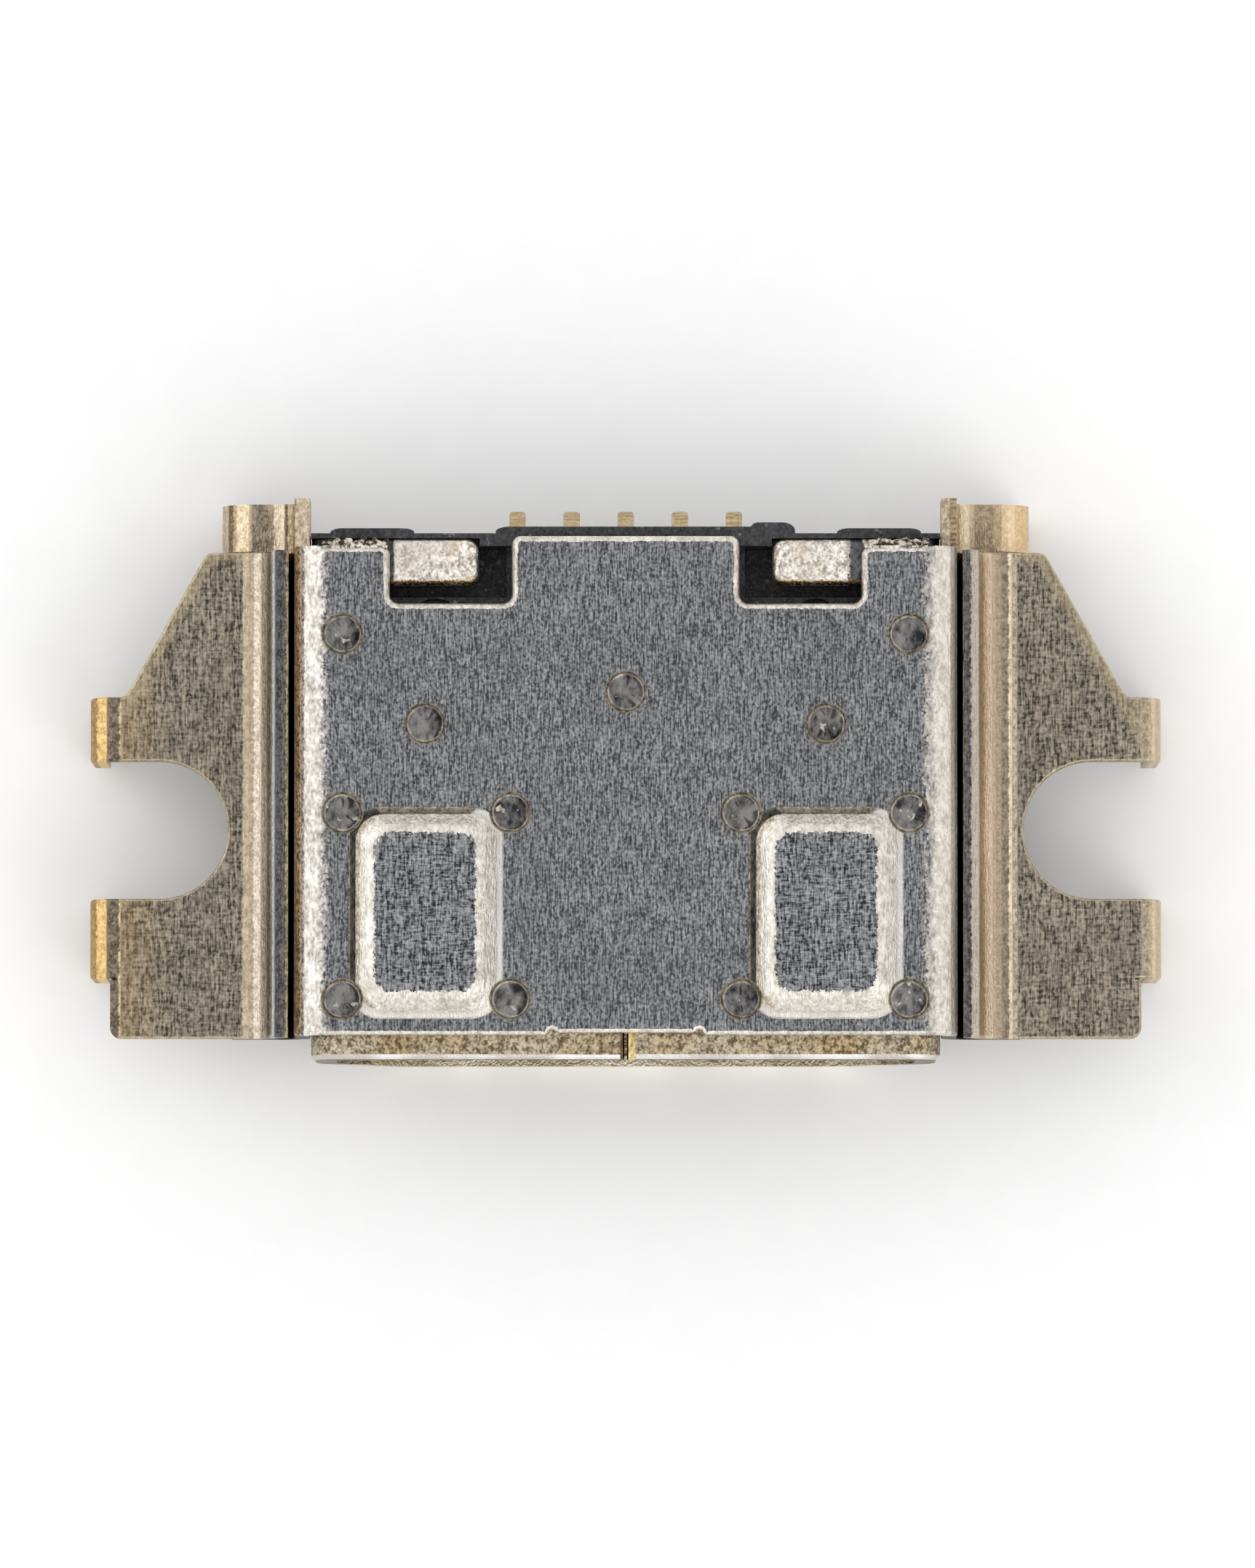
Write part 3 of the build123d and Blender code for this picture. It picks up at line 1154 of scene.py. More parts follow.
    def _weld(self, cover: Object) -> None:
        """Press the weld spots in, each a little out of true.

        Args:
            cover: The cover's sheet.
        """
        draw = random.Random(self.weld_seed)
        span = (-self.weld_depth, self.punch_height)
        punch = new_pin("weld_punch", (0, 0), self.weld_radius, span, self.punch_sides)
        with editing(punch):
            pick_in(punch, Part.FACES, z=at(-self.weld_depth))
            for step_in, step_down in self.weld_steps:
                bpy.ops.mesh.inset(thickness=step_in, depth=step_down)
        punches = []
        for x, y in self.weld_places:
            for side in (-1, 1) if x else (1,):
                copy = duplicate(punch)
                copy.location = (side * x, y, self.top)
                with editing(copy):
                    pick_in(copy, Part.CORNERS, z=(-EVER, -self.weld_floor))
                    bpy.ops.transform.vertex_random(
                        offset=self.weld_crumple, uniform=1.0, seed=len(punches)
                    )
                lean_x = draw.uniform(-self.weld_tilt, self.weld_tilt)
                lean_y = draw.uniform(-self.weld_tilt, self.weld_tilt)
                copy.rotation_euler = (lean_x, lean_y, 0)
                punches.append(copy)
        bpy.data.objects.remove(punch, do_unlink=True)
        work(cover, join(punches), Cut.TAKE)

    def _stubs(self) -> list[Object]:
        """Make the ragged stubs that are left where the carrier strip was broken off.

        Returns:
            One stub for each side of the rear edge.
        """
        rear = self.datum.wing_rear
        inner = self.notch_outer + self.stub_gap
        outer = self.side_out - self.top_bend
        count = round((outer - inner) / self.stub_pitch)
        along = (rear - self.stub_gap, rear + self.stub_length)
        upright = (self.datum.roof + self.stub_below, self.top - self.stub_drop)
        stubs = []
        for seed, side in self.stub_seeds:
            low, high = sorted((side * inner, side * outer))
            stub = new_block("stub", (low, high), along, upright)
            with editing(stub):
                score(x=tuple(low + (high - low) * step / count for step in range(1, count)))
                pick_in(stub, Part.CORNERS, y=(rear + self.stub_root, math.inf))
                bpy.ops.transform.vertex_random(offset=self.stub_tear, uniform=1.0, seed=seed)
                pick_in(stub, Part.CORNERS, z=(self.top - self.stub_skin, math.inf))
                bpy.ops.transform.vertex_random(offset=self.stub_wave, uniform=1.0, seed=seed + 1)
            stubs.append(stub)
        return stubs


@dataclass
class SideBracket:
    """Plated bracket at one side: upturned inner edge, wing plate and outer solder lips."""

    datum: Datum
    sheet: float = 0.20
    edge_rise: float = 0.64
    inner_bend: float = 0.34
    lip_bend: float = 0.32
    front_step: float = 0.25
    front_lip_start: float = 1.00
    lip_slit: float = 0.006
    notch_radius: float = 0.824
    notch_inset: float = 0.83
    notch_row: float = 2.785
    rear_lip_end: float = 4.38
    slant_outer: float = 0.43
    slant_inner: float = 1.40
    front_corner: float = 0.13
    corner: float = 0.08
    rim: float = 0.035

    @property
    def top(self) -> float:
        """Height of the wing plate's skin."""
        return self.datum.wing_edge_top - self.edge_rise + self.sheet

    @property
    def slant_ends(self) -> tuple:
        """X and Y of both ends of the slanted edge."""
        datum = self.datum
        start = (datum.wing_reach - self.slant_outer, datum.mouth + self.rear_lip_end)
        return start, (datum.wing_reach - self.slant_inner, datum.wing_rear)

    @property
    def slant_across(self) -> tuple:
        """The way out across the slanted edge, in plan."""
        start, end = self.slant_ends
        way = Vector((end[1] - start[1], start[0] - end[0])).normalized()
        return tuple(way)

    def build(self) -> Object:
        """Blank, fold and roll the right bracket.

        Returns:
            The bracket, in millimetres.
        """
        datum = self.datum
        inner_fold = datum.wing_in + self.sheet + self.inner_bend
        lip_fold = datum.wing_reach - self.lip_bend
        lip_front = datum.mouth + self.front_lip_start
        lip_rear = datum.mouth + self.rear_lip_end
        notch_middle = datum.mouth + self.notch_row
        notch = (notch_middle - self.notch_radius, notch_middle + self.notch_radius)
        notch_bottom = datum.wing_reach - self.notch_inset - self.notch_radius
        step = datum.wing_reach - self.front_step
        slant_start, slant_end = self.slant_ends
        wing = new_plate(
            "right_wing", (inner_fold, lip_fold), (datum.wing_front, datum.wing_rear), self.top
        )
        with editing(wing):
            slit = lip_front + self.lip_slit
            score(x=(notch_bottom, slant_start[0]), y=(lip_front, slit, *notch, lip_rear))
            blank_out(wing, (notch_bottom, lip_fold), notch)
            blank_out(wing, (slant_start[0], lip_fold), (lip_rear, datum.wing_rear))
            pick_in(wing, Part.FACES, y=(lip_rear, datum.wing_rear))
            bpy.ops.mesh.bisect(
                plane_co=(*slant_start, 0), plane_no=(*self.slant_across, 0), clear_outer=True
            )
            pick_in(wing, Part.EDGES, x=at(lip_fold), y=(datum.wing_front, lip_front))
            extrude(x=step - lip_fold)
            pick_in(wing, Part.EDGES, x=at(lip_fold), y=(slit, lip_rear))
            brake = PressBrake(lip_fold, self.top, 0)
            brake.bend(self.lip_bend, -90)
            brake.run(brake.z - datum.lip_tip)
            pick_in(wing, Part.EDGES, x=at(inner_fold))
            brake = PressBrake(inner_fold, self.top, 180)
            brake.bend(self.inner_bend, -90)
            brake.run(datum.wing_edge_top - brake.z)
        thicken(wing, self.sheet)
        for side in notch:
            round_corner(wing, notch_bottom, side, self.notch_radius - NEAR, steps=20)
        round_corner(wing, *slant_start, self.corner)
        round_corner(wing, *slant_end, self.corner)
        round_corner(wing, step, datum.wing_front, self.front_corner)
        round_corner(wing, step, lip_front, self.corner / 2)
        mark_rim(wing, self.rim, lambda edge: True)
        roll_rims(wing, steps=3)
        return wing

    def pair(self) -> list[Object]:
        """Both brackets.

        Returns:
            The right and the left one, in metres.
        """
        right = self.build()
        left = mirrored_copy(right, "left_wing")
        for wing in (right, left):
            finish_form(wing)
        return [right, left]


@dataclass
class InnerShell:
    """Plated tube round the plug opening, rolled from one strip, with its rear tabs."""

    datum: Datum
    sheet: float = 0.30
    seam_half: float = 0.015
    corner_bend: float = 0.45
    upright: float = 0.70
    slant_bend: float = 0.72
    slant_turn: float = 43.9
    slant_run: float = 0.805
    tab_tip: float = 1.75
    slot_reach: float = 2.93
    slot_width: float = 0.28
    tab_width: float = 0.55
    tab_corner: float = 0.15
    window_centre: float = 2.38
    window_front: float = 1.01
    window_size: tuple = (0.90, 1.50)
    lip: float = 0.07
    seam_roll: float = 0.045
    seam_reach: float = 0.1
    tab_rim: float = 0.09

    def build(self) -> Object:
        """Blank, roll and cut the shell.

        Returns:
            The whole shell, in metres.
        """
        datum = self.datum
        flat_edge = datum.half_shell - self.corner_bend
        tab_front = datum.shell_rear - self.tab_width
        roof_rear = tab_front - self.slot_width
        half = self.window_size[0] / 2
        window_x = (self.window_centre - half, self.window_centre + half)
        window_low = datum.mouth + self.window_front
        window_y = (window_low, window_low + self.window_size[1])
        shell = new_plate(
            "shell_tube", (self.seam_half, flat_edge), (datum.mouth, datum.shell_rear), datum.roof
        )
        with editing(shell):
            score(x=(self.tab_tip, self.slot_reach, *window_x), y=(roof_rear, tab_front, *window_y))
            blank_out(shell, (0, self.tab_tip), (roof_rear, datum.shell_rear))
            blank_out(shell, (0, self.slot_reach), (roof_rear, tab_front))
            blank_out(shell, window_x, window_y)
            pick_in(shell, Part.EDGES, x=at(flat_edge))
            brake = PressBrake(flat_edge, datum.roof, 0)
            brake.bend(self.corner_bend, -90)
            brake.run(self.upright)
            brake.bend(self.slant_bend, -self.slant_turn)
            brake.run(self.slant_run)
            brake.bend(self.slant_bend, self.slant_turn - 90)
            brake.run(brake.x)
        mirror_half(shell)
        thicken(shell, self.sheet)
        for y in (roof_rear, tab_front):
            round_corner(shell, self.slot_reach, y, self.slot_width / 2 - NEAR / 4)
        for y in (tab_front, datum.shell_rear):
            round_corner(shell, self.tab_tip, y, self.tab_corner)
        mark_rim(shell, self.lip, lambda edge: within(edge, y=at(datum.mouth)))
        # From run to run, thicken's dissolve keeps or drops the corner of each seam edge that is in
        # line with the windows' rear end. Only where it is kept is the seam rolled, up to there.
        seam_x = (-self.seam_reach, self.seam_reach)
        seam_y = (datum.mouth, roof_rear - NEAR * 4)
        mark_rim(
            shell,
            self.seam_roll,
            lambda edge: within(edge, x=seam_x, y=seam_y) and not within(edge, y=at(datum.mouth)),
        )
        mark_rim(
            shell,
            self.tab_rim,
            lambda edge: within(edge, y=(tab_front, math.inf), z=at(datum.roof)),
        )
        roll_rims(shell)
        finish_form(shell)
        return shell


@dataclass
class Insulator:
    """Black moulding that carries the contacts, with softened edges and shoulders."""

    edge: float = 0.016
    behind: float = 2.932
    shoulders: tuple = (
        (-3.52, 0.05, 3.0),
        (-2.52, -0.05, 3.0),
        (-1.55, 0.06, 3.0),
        (2.02, -0.10, 1.5),
        (2.52, 0.05, 3.0),
        (3.52, -0.05, 3.0),
    )

    def build(self) -> Object:
        """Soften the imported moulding's edges and the steps of its rear face.

        Returns:
            The moulding, in metres.
        """
        body = from_node("insulator", "housing")
        with editing(body):
            for foot, width, factor in self.shoulders:
                span = tuple(sorted((foot, foot + width)))
                pick_in(body, Part.CORNERS, x=span, y=(self.behind, math.inf))
                bpy.ops.transform.resize(value=(factor, 1, 1), center_override=(foot, 0, 0))
        soften(body, self.edge)
        finish_form(body)
        return body


@dataclass
class ContactRow:
    """The five stamped contacts, with rounded edges."""

    count: int = 5
    edge: float = 0.014

    def build(self) -> list[Object]:
        """Round the edges of each imported contact.

        Returns:
            The contacts, in metres.
        """
        contacts = []
        for number in range(1, self.count + 1):
            contact = from_node(f"contact_strip_{number}", f"contact_{number}")
            soften(contact, self.edge)
            finish_form(contact)
            contacts.append(contact)
        return contacts


def toned(code: str, factor: float) -> str:
    """Make a colour darker or lighter.

    Args:
        code: Six hex digits after a hash.
        factor: What each of the three shares is multiplied by.

    Returns:
        The new colour, as hex digits again.
    """
    shares = [min(255, round(int(code[place : place + 2], 16) * factor)) for place in (1, 3, 5)]
    return "#" + "".join(f"{share:02x}" for share in shares)


def stripes(hand: int, inner: float, rows: tuple, *limits: tuple) -> list[Coat]:
    """Coats side by side, as painted highlights, reflections and shade lie along the bends of a
    piece.

    Args:
        hand: 1 for the right side and -1 for the left one.
        inner: Distance from the middle of the first stripe's inner border.
        rows: Each stripe's outer border, which the next one starts at, its colour and contrast.
        limits: What else the stripes are limited to.

    Returns:
        The coats.
    """
    coats = []
    for outer, code, contrast in rows:
        low, high = sorted((hand * inner, hand * outer))
        coats.append(
            Coat(
                toned(code, 1 - contrast),
                toned(code, 1 + contrast),
                Grain.SPECKLED,
                ((Gauge.X, low, high, 0.013), *limits),
                ragged=0.014,
            )
        )
        inner = outer
    return coats


def cover_finish(datum: Datum, cover: CoverShell) -> Finish:
    """Brushed stainless steel, whose flats look grey and whose pressed forms catch the light.

    Args:
        datum: The shared measures.
        cover: The cover's sizes.

    Returns:
        The finish.
    """
    top = cover.top
    pad_start = datum.mouth + cover.pad_front
    pad_end = pad_start + cover.pad_length
    by_pad = ((Gauge.Y, pad_start - 0.06, pad_end + 0.06, 0.01), (Gauge.SIDE, 1.44, 3.32, 0.01))
    slope = (Gauge.Z, top + 0.040, datum.crown - 0.012, 0.010)
    foot = (Gauge.Z, top + 0.001, top + 0.046, 0.008)
    on_top = (Gauge.Z, top - 0.060, top + 0.200, 0.002)
    upper = (Gauge.Z, top - 0.330, EVER, 0.010)
    body = (Gauge.Y, -EVER, datum.wing_rear + 0.012, 0.004)
    leg = (Gauge.Y, datum.wing_rear + 0.012, EVER, 0.006)
    pad_top = ((Gauge.Z, datum.crown - 0.001, EVER, 0.002),)
    torn = ((Gauge.Y, datum.wing_rear + 0.003, EVER, 0.002), (Gauge.SIDE, 2.8, 3.7, 0.01))
    low_slope = (Gauge.Z, top + 0.030, top + 0.090, 0.020)
    left_slope = (*by_pad, low_slope, (Gauge.LEAN_X, -1, -0.2, 0.08))
    rear_foot = (*by_pad, foot, (Gauge.LEAN_Y, 0.03, 1, 0.02), (Gauge.LEAN_X, -1, 0.06, 0.04))
    left_foot = (*by_pad, foot, (Gauge.LEAN_X, -1, -0.03, 0.02), (Gauge.LEAN_Y, -0.06, 1, 0.05))
    dent = (on_top, (Gauge.WELD, -1, 0.198, 0.008))
    shaded = (on_top, (Gauge.WELD, -1, 0.206, 0.006), (Gauge.LEAN_X, -1, -0.10, 0.08))
    coats = [
        # A few longer scratches and cloudy patches break up the even brushing.
        Coat("#8d8e90", "#c6c6c6", through=Grain.SCRATCHED, share=0.45),
        Coat("#46474b", "#8f9092", Grain.BRUSHED, through=Grain.CLOUDED, share=0.45),
        # The pads' tops are rubbed across as well, up to a ragged border.
        Coat("#2d2f33", "#a9aaac", Grain.CROSSED, pad_top, ragged=0.012),
        # Every slope and bend is painted warm white with an orange-peel grain, a painted highlight
        # of the light boxes.
        Coat("#b9b0a4", "#f0ebe2", where=((Gauge.LEVEL, -1.0, 0.996, 0.003),), ragged=0.03),
        # Painted highlight on the side bends, brightest on the left.
        Coat("#8b8782", "#d3cdc5", where=((Gauge.SIDE, 3.63, 4.0, 0.05), upper), ragged=0.11),
        Coat("#bcb4a8", "#eae5dd", where=((Gauge.SIDE, 3.70, 4.0, 0.025), upper), ragged=0.06),
        Coat("#a8a094", "#fdfaf4", where=((Gauge.X, -4.0, -3.665, 0.030), upper), ragged=-0.08),
        # The stubs of the carrier strip are torn metal, part bright and part brown.
        Coat("#3c3226", "#ddd3c3", Grain.TORN, torn),
        # Painted light and shade on the pads, as the lamps from the front right light them: a
        # painted highlight high on the left-facing slope, painted brown shade low on it, and a
        # painted pale sheen on the feet that face right and front.
        Coat("#cfc6b4", "#fffdf7", where=(*by_pad, slope, (Gauge.LEAN_X, -1, -0.12, 0.05))),
        Coat("#5d4c37", "#dccaad", Grain.SPECKLED, left_slope, share=0.7),
        Coat("#c9c5bf", "#dcd9d4", Grain.SMOOTH, (*by_pad, foot, (Gauge.LEAN_X, 0.03, 1, 0.02))),
        Coat("#cbc5bb", "#e3ded5", Grain.SMOOTH, (*by_pad, foot, (Gauge.LEAN_Y, -1, -0.03, 0.02))),
        # Painted shade along the pads' rear and left feet.
        Coat("#4b443a", "#958b7b", where=rear_foot),
        Coat("#1f1e20", "#57524a", where=left_foot),
        # Where the sides turn down they are painted darker as shade, and on the left painted brown
        # as a reflection of the bracket.
        *stripes(
            1,
            3.875,
            (
                (3.925, "#a8a199", 0.10), (3.955, "#6a645e", 0.12),
            ),
            upper, body,
        ),
        *stripes(
            -1,
            3.820,
            (
                (3.865, "#8c8174", 0.30), (4.000, "#7a6243", 0.45),
            ),
            (Gauge.Z, top - 0.50, EVER, 0.010), body,
        ),
        # Painted shade: the gap on the right and the low side walls are painted dark brown to near
        # black.
        Coat("#2a2018", "#4f4031", where=((Gauge.X, 3.952, EVER, 0.012), body)),
        Coat("#17120d", "#33281b", where=((Gauge.Z, -1, top - 0.42, 0.08), body)),
        # Each weld spot is a dent of its own tone in a ring of heat tint, with painted shade on one
        # side and painted glints as highlights.
        Coat("#5d5648", "#928a79", Grain.SPECKLED, (on_top, (Gauge.WELD, -1, 0.252, 0.008))),
        Coat("#3a342b", "#7b7263", Grain.SPECKLED, (on_top, (Gauge.WELD, 0.222, 0.238, 0.006))),
        Coat("#77716a", "#bdb6aa", Grain.DENTED, (on_top, (Gauge.WELD, -1, 0.218, 0.006))),
        Coat("#2e2f33", "#878582", Grain.DENTED, dent),
        # Painted shade on the dent's faces that lean left.
        Coat("#151516", "#3c3b3a", Grain.DENTED, shaded, share=0.85),
        # Painted glints, highlights scattered in the dents.
        Coat("#a7a092", "#e6dfd2", Grain.SPECKLED, dent, through=Grain.GLINTS, share=0.75),
        # The solder legs are painted in bands of highlight, reflection and shade, as these lie
        # across the legs' bends and edges.
        *stripes(
            -1,
            3.70,
            (
                (3.93, "#c3b29b", 0.14), (3.99, "#a18d75", 0.20), (4.045, "#c6b091", 0.16),
                (4.09, "#75654f", 0.20), (4.22, "#e3d1b8", 0.10), (4.29, "#a08f7b", 0.14),
                (4.48, "#8d8070", 0.20), (4.51, "#b9a88f", 0.15), (4.66, "#e6d0ad", 0.13),
                (4.70, "#b9a080", 0.15), (4.77, "#7d6a53", 0.20), (4.95, "#c2ae94", 0.12),
            ),
            leg,
        ),
        *stripes(
            1,
            3.70,
            (
                (3.87, "#b5a48d", 0.15), (3.96, "#98866c", 0.26), (3.995, "#d6be99", 0.10),
                (4.02, "#b39b7b", 0.10), (4.13, "#dcc8ac", 0.07), (4.20, "#bca88d", 0.09),
                (4.42, "#a4927a", 0.13), (4.52, "#b39d80", 0.10), (4.60, "#d8c09b", 0.07),
                (4.68, "#e9d0ab", 0.05), (4.95, "#dabf95", 0.06),
            ),
            leg,
        ),
        # Fine marks across the right leg, next to its inner edge.
        Coat("#45392b", "#bba98d", Grain.LINED, ((Gauge.X, 3.87, 3.95, 0.013), leg), share=0.75),
    ]
    return Finish(
        "brushed stainless steel",
        Coat("#414347", "#a3a4a5", Grain.BRUSHED),
        tuple(coats),
        welds=tuple(cover.weld_places),
    )


def wing_finish(datum: Datum, bracket: SideBracket) -> Finish:
    """Nickel plate that time has tarnished, cross-hatched on the flats, golden at the bends in
    bands of painted highlight and shade.

    Args:
        datum: The shared measures.
        bracket: The bracket's sizes.

    Returns:
        The finish.
    """
    edge = Vector(bracket.slant_ends[0]).dot(Vector(bracket.slant_across))
    plate = (Gauge.SIDE, 4.58, EVER, 0.01)
    coats = [
        Coat("#46423a", "#968d7f", Grain.HATCHED, through=Grain.CLOUDED, share=0.5),
        Coat("#8c744c", "#c2a676", Grain.HATCHED, ((Gauge.X, -EVER, -5.75, 0.35),), share=0.40),
        # The slanted and the rear edge are rubbed paler and more golden.
        *(
            Coat("#8d7f67", "#bdae93", Grain.HATCHED, (band, plate), share=0.65)
            for band in (
                (Gauge.SLANT, edge - 0.13, EVER, 0.04),
                (Gauge.Y, datum.wing_rear - 0.11, EVER, 0.03),
            )
        ),
        # Every slope is painted paler, a painted highlight.
        Coat("#a99878", "#dccfb4", where=((Gauge.LEVEL, -1, 0.97, 0.02),), share=0.6),
        # Bands of painted highlight, reflection and shade across the bends: the upturned inner edge
        # and inner fold, then the outer lip, on the right and then on the left.
        *stripes(
            1,
            4.00,
            (
                (4.045, "#8d7f68", 0.20), (4.075, "#6f675c", 0.25), (4.135, "#5d5b5b", 0.30),
                (4.220, "#bfb5a9", 0.06), (4.300, "#b9a588", 0.07), (4.400, "#d2bea3", 0.06),
                (4.440, "#baa68b", 0.07), (4.510, "#a8967e", 0.10), (4.590, "#8e8170", 0.18),
            ),
        ),
        *stripes(
            1,
            4.595,
            (
                (4.640, "#e0ccb0", 0.12), (4.700, "#aea291", 0.20),
            ),
        ),
        *stripes(
            1,
            6.190,
            (
                (6.270, "#a39681", 0.15), (6.310, "#bda98f", 0.08), (6.360, "#d6c1a5", 0.05),
                (6.500, "#c9b497", 0.06),
            ),
        ),
        *stripes(
            -1,
            4.000,
            (
                (4.055, "#a3957c", 0.18), (4.095, "#6d665e", 0.25), (4.185, "#595a5c", 0.28),
                (4.240, "#b3afaa", 0.09), (4.290, "#786d60", 0.18), (4.360, "#a09384", 0.14),
                (4.450, "#dacbb9", 0.11), (4.500, "#b0a28f", 0.12), (4.580, "#c0af97", 0.11),
            ),
        ),
        *stripes(
            -1,
            6.035,
            (
                (6.060, "#bfae8d", 0.25), (6.210, "#75685a", 0.26), (6.330, "#e2c080", 0.12),
                (6.500, "#a88a58", 0.12),
            ),
        ),
    ]
    return Finish(
        "tarnished nickel plate",
        Coat("#3d3932", "#ada391", Grain.HATCHED),
        tuple(coats),
        slant=bracket.slant_across,
    )


def shell_finish(datum: Datum, shell: InnerShell) -> Finish:
    """Nickel plate on the tube: speckled gold-brown, with a painted highlight on the rounded lip,
    and rubbed bright tabs.

    Args:
        datum: The shared measures.
        shell: The shell's sizes.

    Returns:
        The finish.
    """
    roof = datum.roof
    tab_front = datum.shell_rear - shell.tab_width
    tab = ((Gauge.Y, tab_front - 0.01, EVER, 0.004), (Gauge.Z, roof - 0.20, EVER, 0.01))
    free_end = (Gauge.SIDE, -1, 2.05, 0.15)
    upper = (Gauge.Z, 1.0, EVER, 0.1)
    lower = (Gauge.Z, -1, 0.7, 0.1)
    by_mouth = (Gauge.Y, -EVER, datum.mouth + 0.12, 0.02)
    torn_front = (
        (Gauge.Y, tab_front - 0.01, tab_front + 0.030, 0.008),
        (Gauge.Z, roof - 0.40, EVER, 0.01),
    )
    coats = (
        Coat("#5f4a2c", "#bf9f68", Grain.SPECKLED, through=Grain.CLOUDED, share=0.5),
        Coat("#9c8f78", "#cfc1a8", Grain.SPECKLED, ((Gauge.Z, -1, 1.0, 0.2),), share=0.8),
        # Painted light at the mouth: the lower lip's inner face is painted pale cream, and the
        # rounded lip near white as a painted highlight.
        Coat("#cdbc9c", "#f3e6cc", Grain.CLOUDED, (by_mouth, lower)),
        Coat("#cbc5bd", "#efecea", Grain.CLOUDED, ((Gauge.LEAN_Y, -0.94, -0.12, 0.04),)),
        # Painted shade on the upper front faces. At the seam: painted shade on its left, a painted
        # golden highlight on its rolled right rim, and near black painted shade in the gap.
        Coat("#3b342b", "#8d8478", where=((Gauge.LEAN_Y, -1.1, -0.95, 0.02), upper)),
        Coat("#4d3f2b", "#8d7750", where=((Gauge.X, -0.065, 0.0, 0.010), upper)),
        Coat("#a08347", "#f6dfa6", where=((Gauge.X, 0.020, 0.105, 0.008), upper), ragged=-0.02),
        Coat("#0f0c09", "#1f1812", where=((Gauge.SIDE, -1, 0.034, 0.004), upper)),
        # The rear tabs are worn bright, with gold left on them. Their outer ends are painted dark
        # as the shadow of the cover's notch walls, and their torn front edge is painted dark as
        # shade on its cut face.
        Coat("#a2968a", "#fffbf3", Grain.SPECKLED, tab),
        Coat("#b9b0a5", "#dbd3c8", where=tab, through=Grain.CLOUDED, share=0.6),
        Coat("#b08f4a", "#eed9ab", Grain.SPECKLED, tab, through=Grain.GLINTS, share=0.7),
        Coat("#a97f36", "#efd79b", where=(*tab, free_end), through=Grain.CLOUDED, share=0.8),
        # Painted shadow of the notch walls on the tabs' outer ends.
        Coat("#232327", "#6b6a6c", where=(*tab, (Gauge.X, 2.69, EVER, 0.012)), ragged=0.05),
        Coat("#232327", "#5b5a5c", where=(*tab, (Gauge.X, -EVER, -2.77, 0.010)), ragged=-0.02),
        # Painted shade on the tabs' torn front edge.
        Coat("#2c2218", "#8f7343", Grain.SPECKLED, torn_front, ragged=-0.035),
    )
    return Finish("nickel plate", Coat("#695d49", "#cec1a8", Grain.SPECKLED), coats)


# Black moulding compound, whose glass filling shows as pale specks.
MOULDING = Finish(
    "moulded liquid crystal polymer",
    Coat("#141416", "#37373a", Grain.SPECKLED),
    (Coat("#505155", "#7d7e82", Grain.SPECKLED, through=Grain.GLINTS, share=0.8),),
    metallic=0.0,
    roughness=(0.45, 0.60),
    relief=0.006,
)

# Thin gold over nickel looks matt and sandy, with faint marks across from the stamping.
GOLD_FLASH = Finish(
    "gold flash",
    Coat("#ad9773", "#d2bf9d", Grain.LINED),
    # Faces that stand steeply are painted darker, as painted shade.
    (Coat("#8d7650", "#b89f74", Grain.LINED, ((Gauge.LEVEL, -1, 0.5, 0.2),), share=0.7),),
    relief=0.003,
)

# Matt paper is pale and even, so that only the part's soft shadow shows on it.
PALE_PAPER = Finish(
    "pale matt paper",
    Coat("#fbfbfb", "#fdfdfd", Grain.PAPER),
    metallic=0.0,
    roughness=(0.85, 0.95),
    relief=0.001,
)


def dress(piece: Object, material: Material) -> None:
    """Give a piece one material all over.

    Args:
        piece: The piece.
        material: Its material.
    """
    piece.data.materials.clear()
    piece.data.materials.append(material)


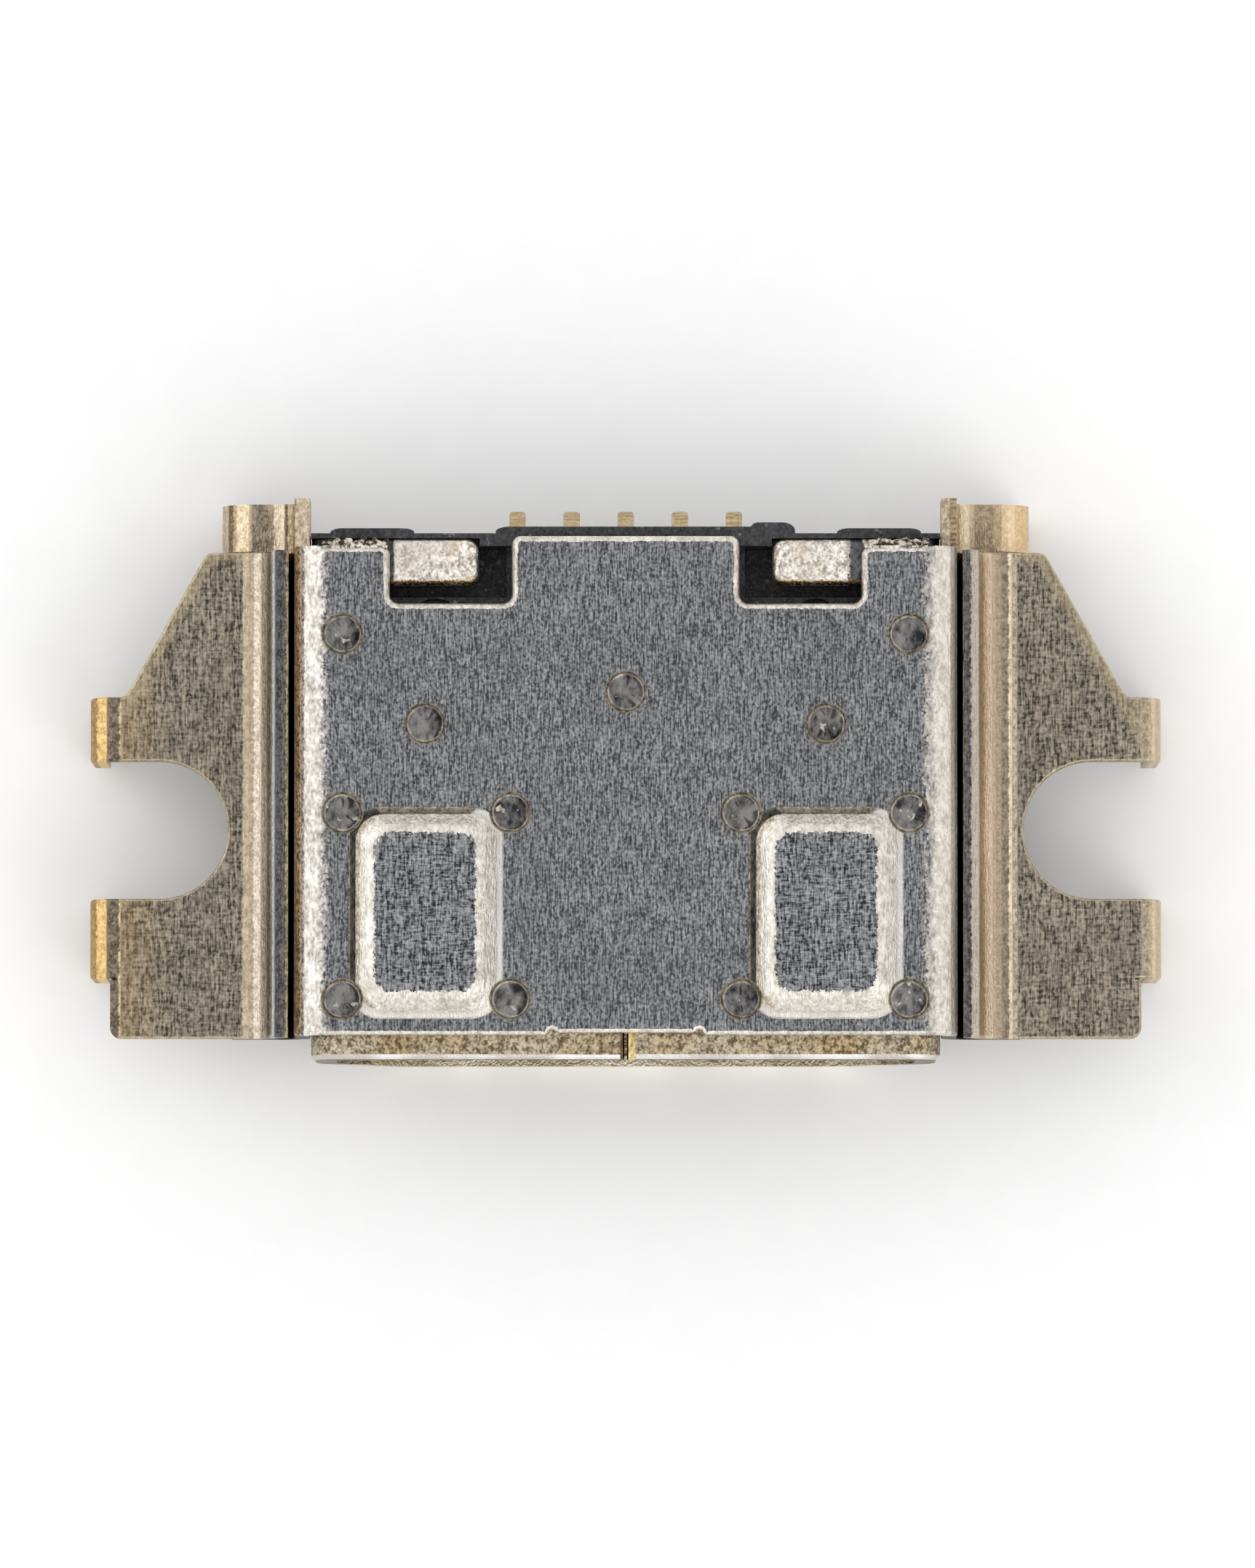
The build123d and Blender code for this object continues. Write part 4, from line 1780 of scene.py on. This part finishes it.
@dataclass
class Studio:
    """Pale floor, soft light and the camera at the photograph's angle."""

    datum: Datum
    floor_size: float = 1.2
    surround: float = 0.95
    lamps: tuple = (
        ("key_lamp", (0.16, -0.16, 0.20), 0.16, 1.6),
        ("fill_lamp", (-0.20, 0.10, 0.16), 0.16, 0.9),
    )
    sensor: float = 36.0
    lens: float = 300.0
    distance: float = 155.6
    tilt: float = 3.4
    aim: tuple = (0.022, -0.074)
    clip: tuple = (0.01, 10)

    def build(self) -> None:
        """Set the stage."""
        self._floor()
        self._world()
        self._lamps()
        self._camera()

    def _floor(self) -> None:
        """Lay the floor that the socket rests on."""
        half = self.floor_size / 2
        floor = new_plate("floor", (-half, half), (-half, half), 0)
        dress(floor, PALE_PAPER.material())

    def _world(self) -> None:
        """Even surroundings, a little fainter as light than as what is seen or mirrored."""
        world = bpy.data.worlds.new("white studio")
        bpy.context.scene.world = world
        world.use_nodes = True
        tree = world.node_tree
        tree.nodes.clear()
        path = add_node(tree, "LightPath").node.outputs
        seen = path["Is Camera Ray"]
        for ray in ("Is Glossy Ray", "Is Transmission Ray"):
            seen = add_node(tree, "Math", {"operation": "MAXIMUM"}, {0: seen, 1: path[ray]})
        level = add_node(
            tree, "MapRange", inputs={"Value": seen, "To Min": self.surround, "To Max": 1.0}
        )
        light = add_node(tree, "Background", inputs={"Color": (1, 1, 1, 1), "Strength": level})
        add_node(tree, "OutputWorld", inputs={"Surface": light})

    def _lamps(self) -> None:
        """Hang one large soft lamp at the front right and a fainter one at the rear left."""
        for name, place, size, radiance in self.lamps:
            lamp = bpy.data.lights.new(name, "AREA")
            lamp.size = size
            lamp.energy = radiance * math.pi * size * size
            holder = bpy.data.objects.new(name, lamp)
            bpy.context.collection.objects.link(holder)
            holder.location = place
            holder.rotation_euler = Vector(place).to_track_quat("Z", "Y").to_euler()

    def _camera(self) -> None:
        """Look down on the cover from the photograph's place."""
        lean = math.radians(self.tilt)
        camera = bpy.data.cameras.new("camera")
        camera.lens = self.lens
        camera.sensor_width = self.sensor
        camera.clip_start, camera.clip_end = self.clip
        holder = bpy.data.objects.new("camera", camera)
        bpy.context.collection.objects.link(holder)
        target = Vector((*self.aim, self.datum.roof)) * MM
        back = Vector((0, -math.sin(lean), math.cos(lean)))
        holder.location = target + back * self.distance * MM
        holder.rotation_euler = (lean, 0, 0)
        bpy.context.scene.camera = holder


def main() -> None:
    """Build the stage and each piece, and report them."""
    logging.basicConfig(level=logging.INFO, format="%(name)s %(message)s")
    bpy.context.scene.view_settings.view_transform = "Standard"
    datum = Datum.read()
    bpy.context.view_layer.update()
    Studio(datum).build()

    cover_form = CoverShell(datum)
    cover = cover_form.build()
    dress(cover, cover_finish(datum, cover_form).material())
    seat(cover, "cover_stainless", "cover_shell")

    wing_form = SideBracket(datum)
    right, left = wing_form.pair()
    plate = wing_finish(datum, wing_form).material()
    for wing, node in ((right, "right_bracket"), (left, "left_bracket")):
        dress(wing, plate)
        seat(wing, "bracket_nickel", node)

    shell_form = InnerShell(datum)
    shell = shell_form.build()
    dress(shell, shell_finish(datum, shell_form).material())
    seat(shell, "shell_nickel", "inner_shell")

    body = Insulator().build()
    dress(body, MOULDING.material())
    seat(body, "housing_plastic", "housing")

    gilt = GOLD_FLASH.material()
    for number, contact in enumerate(ContactRow().build(), start=1):
        dress(contact, gilt)
        seat(contact, "contact_plating", f"contact_{number}")


if __name__ == "__main__":
    main()
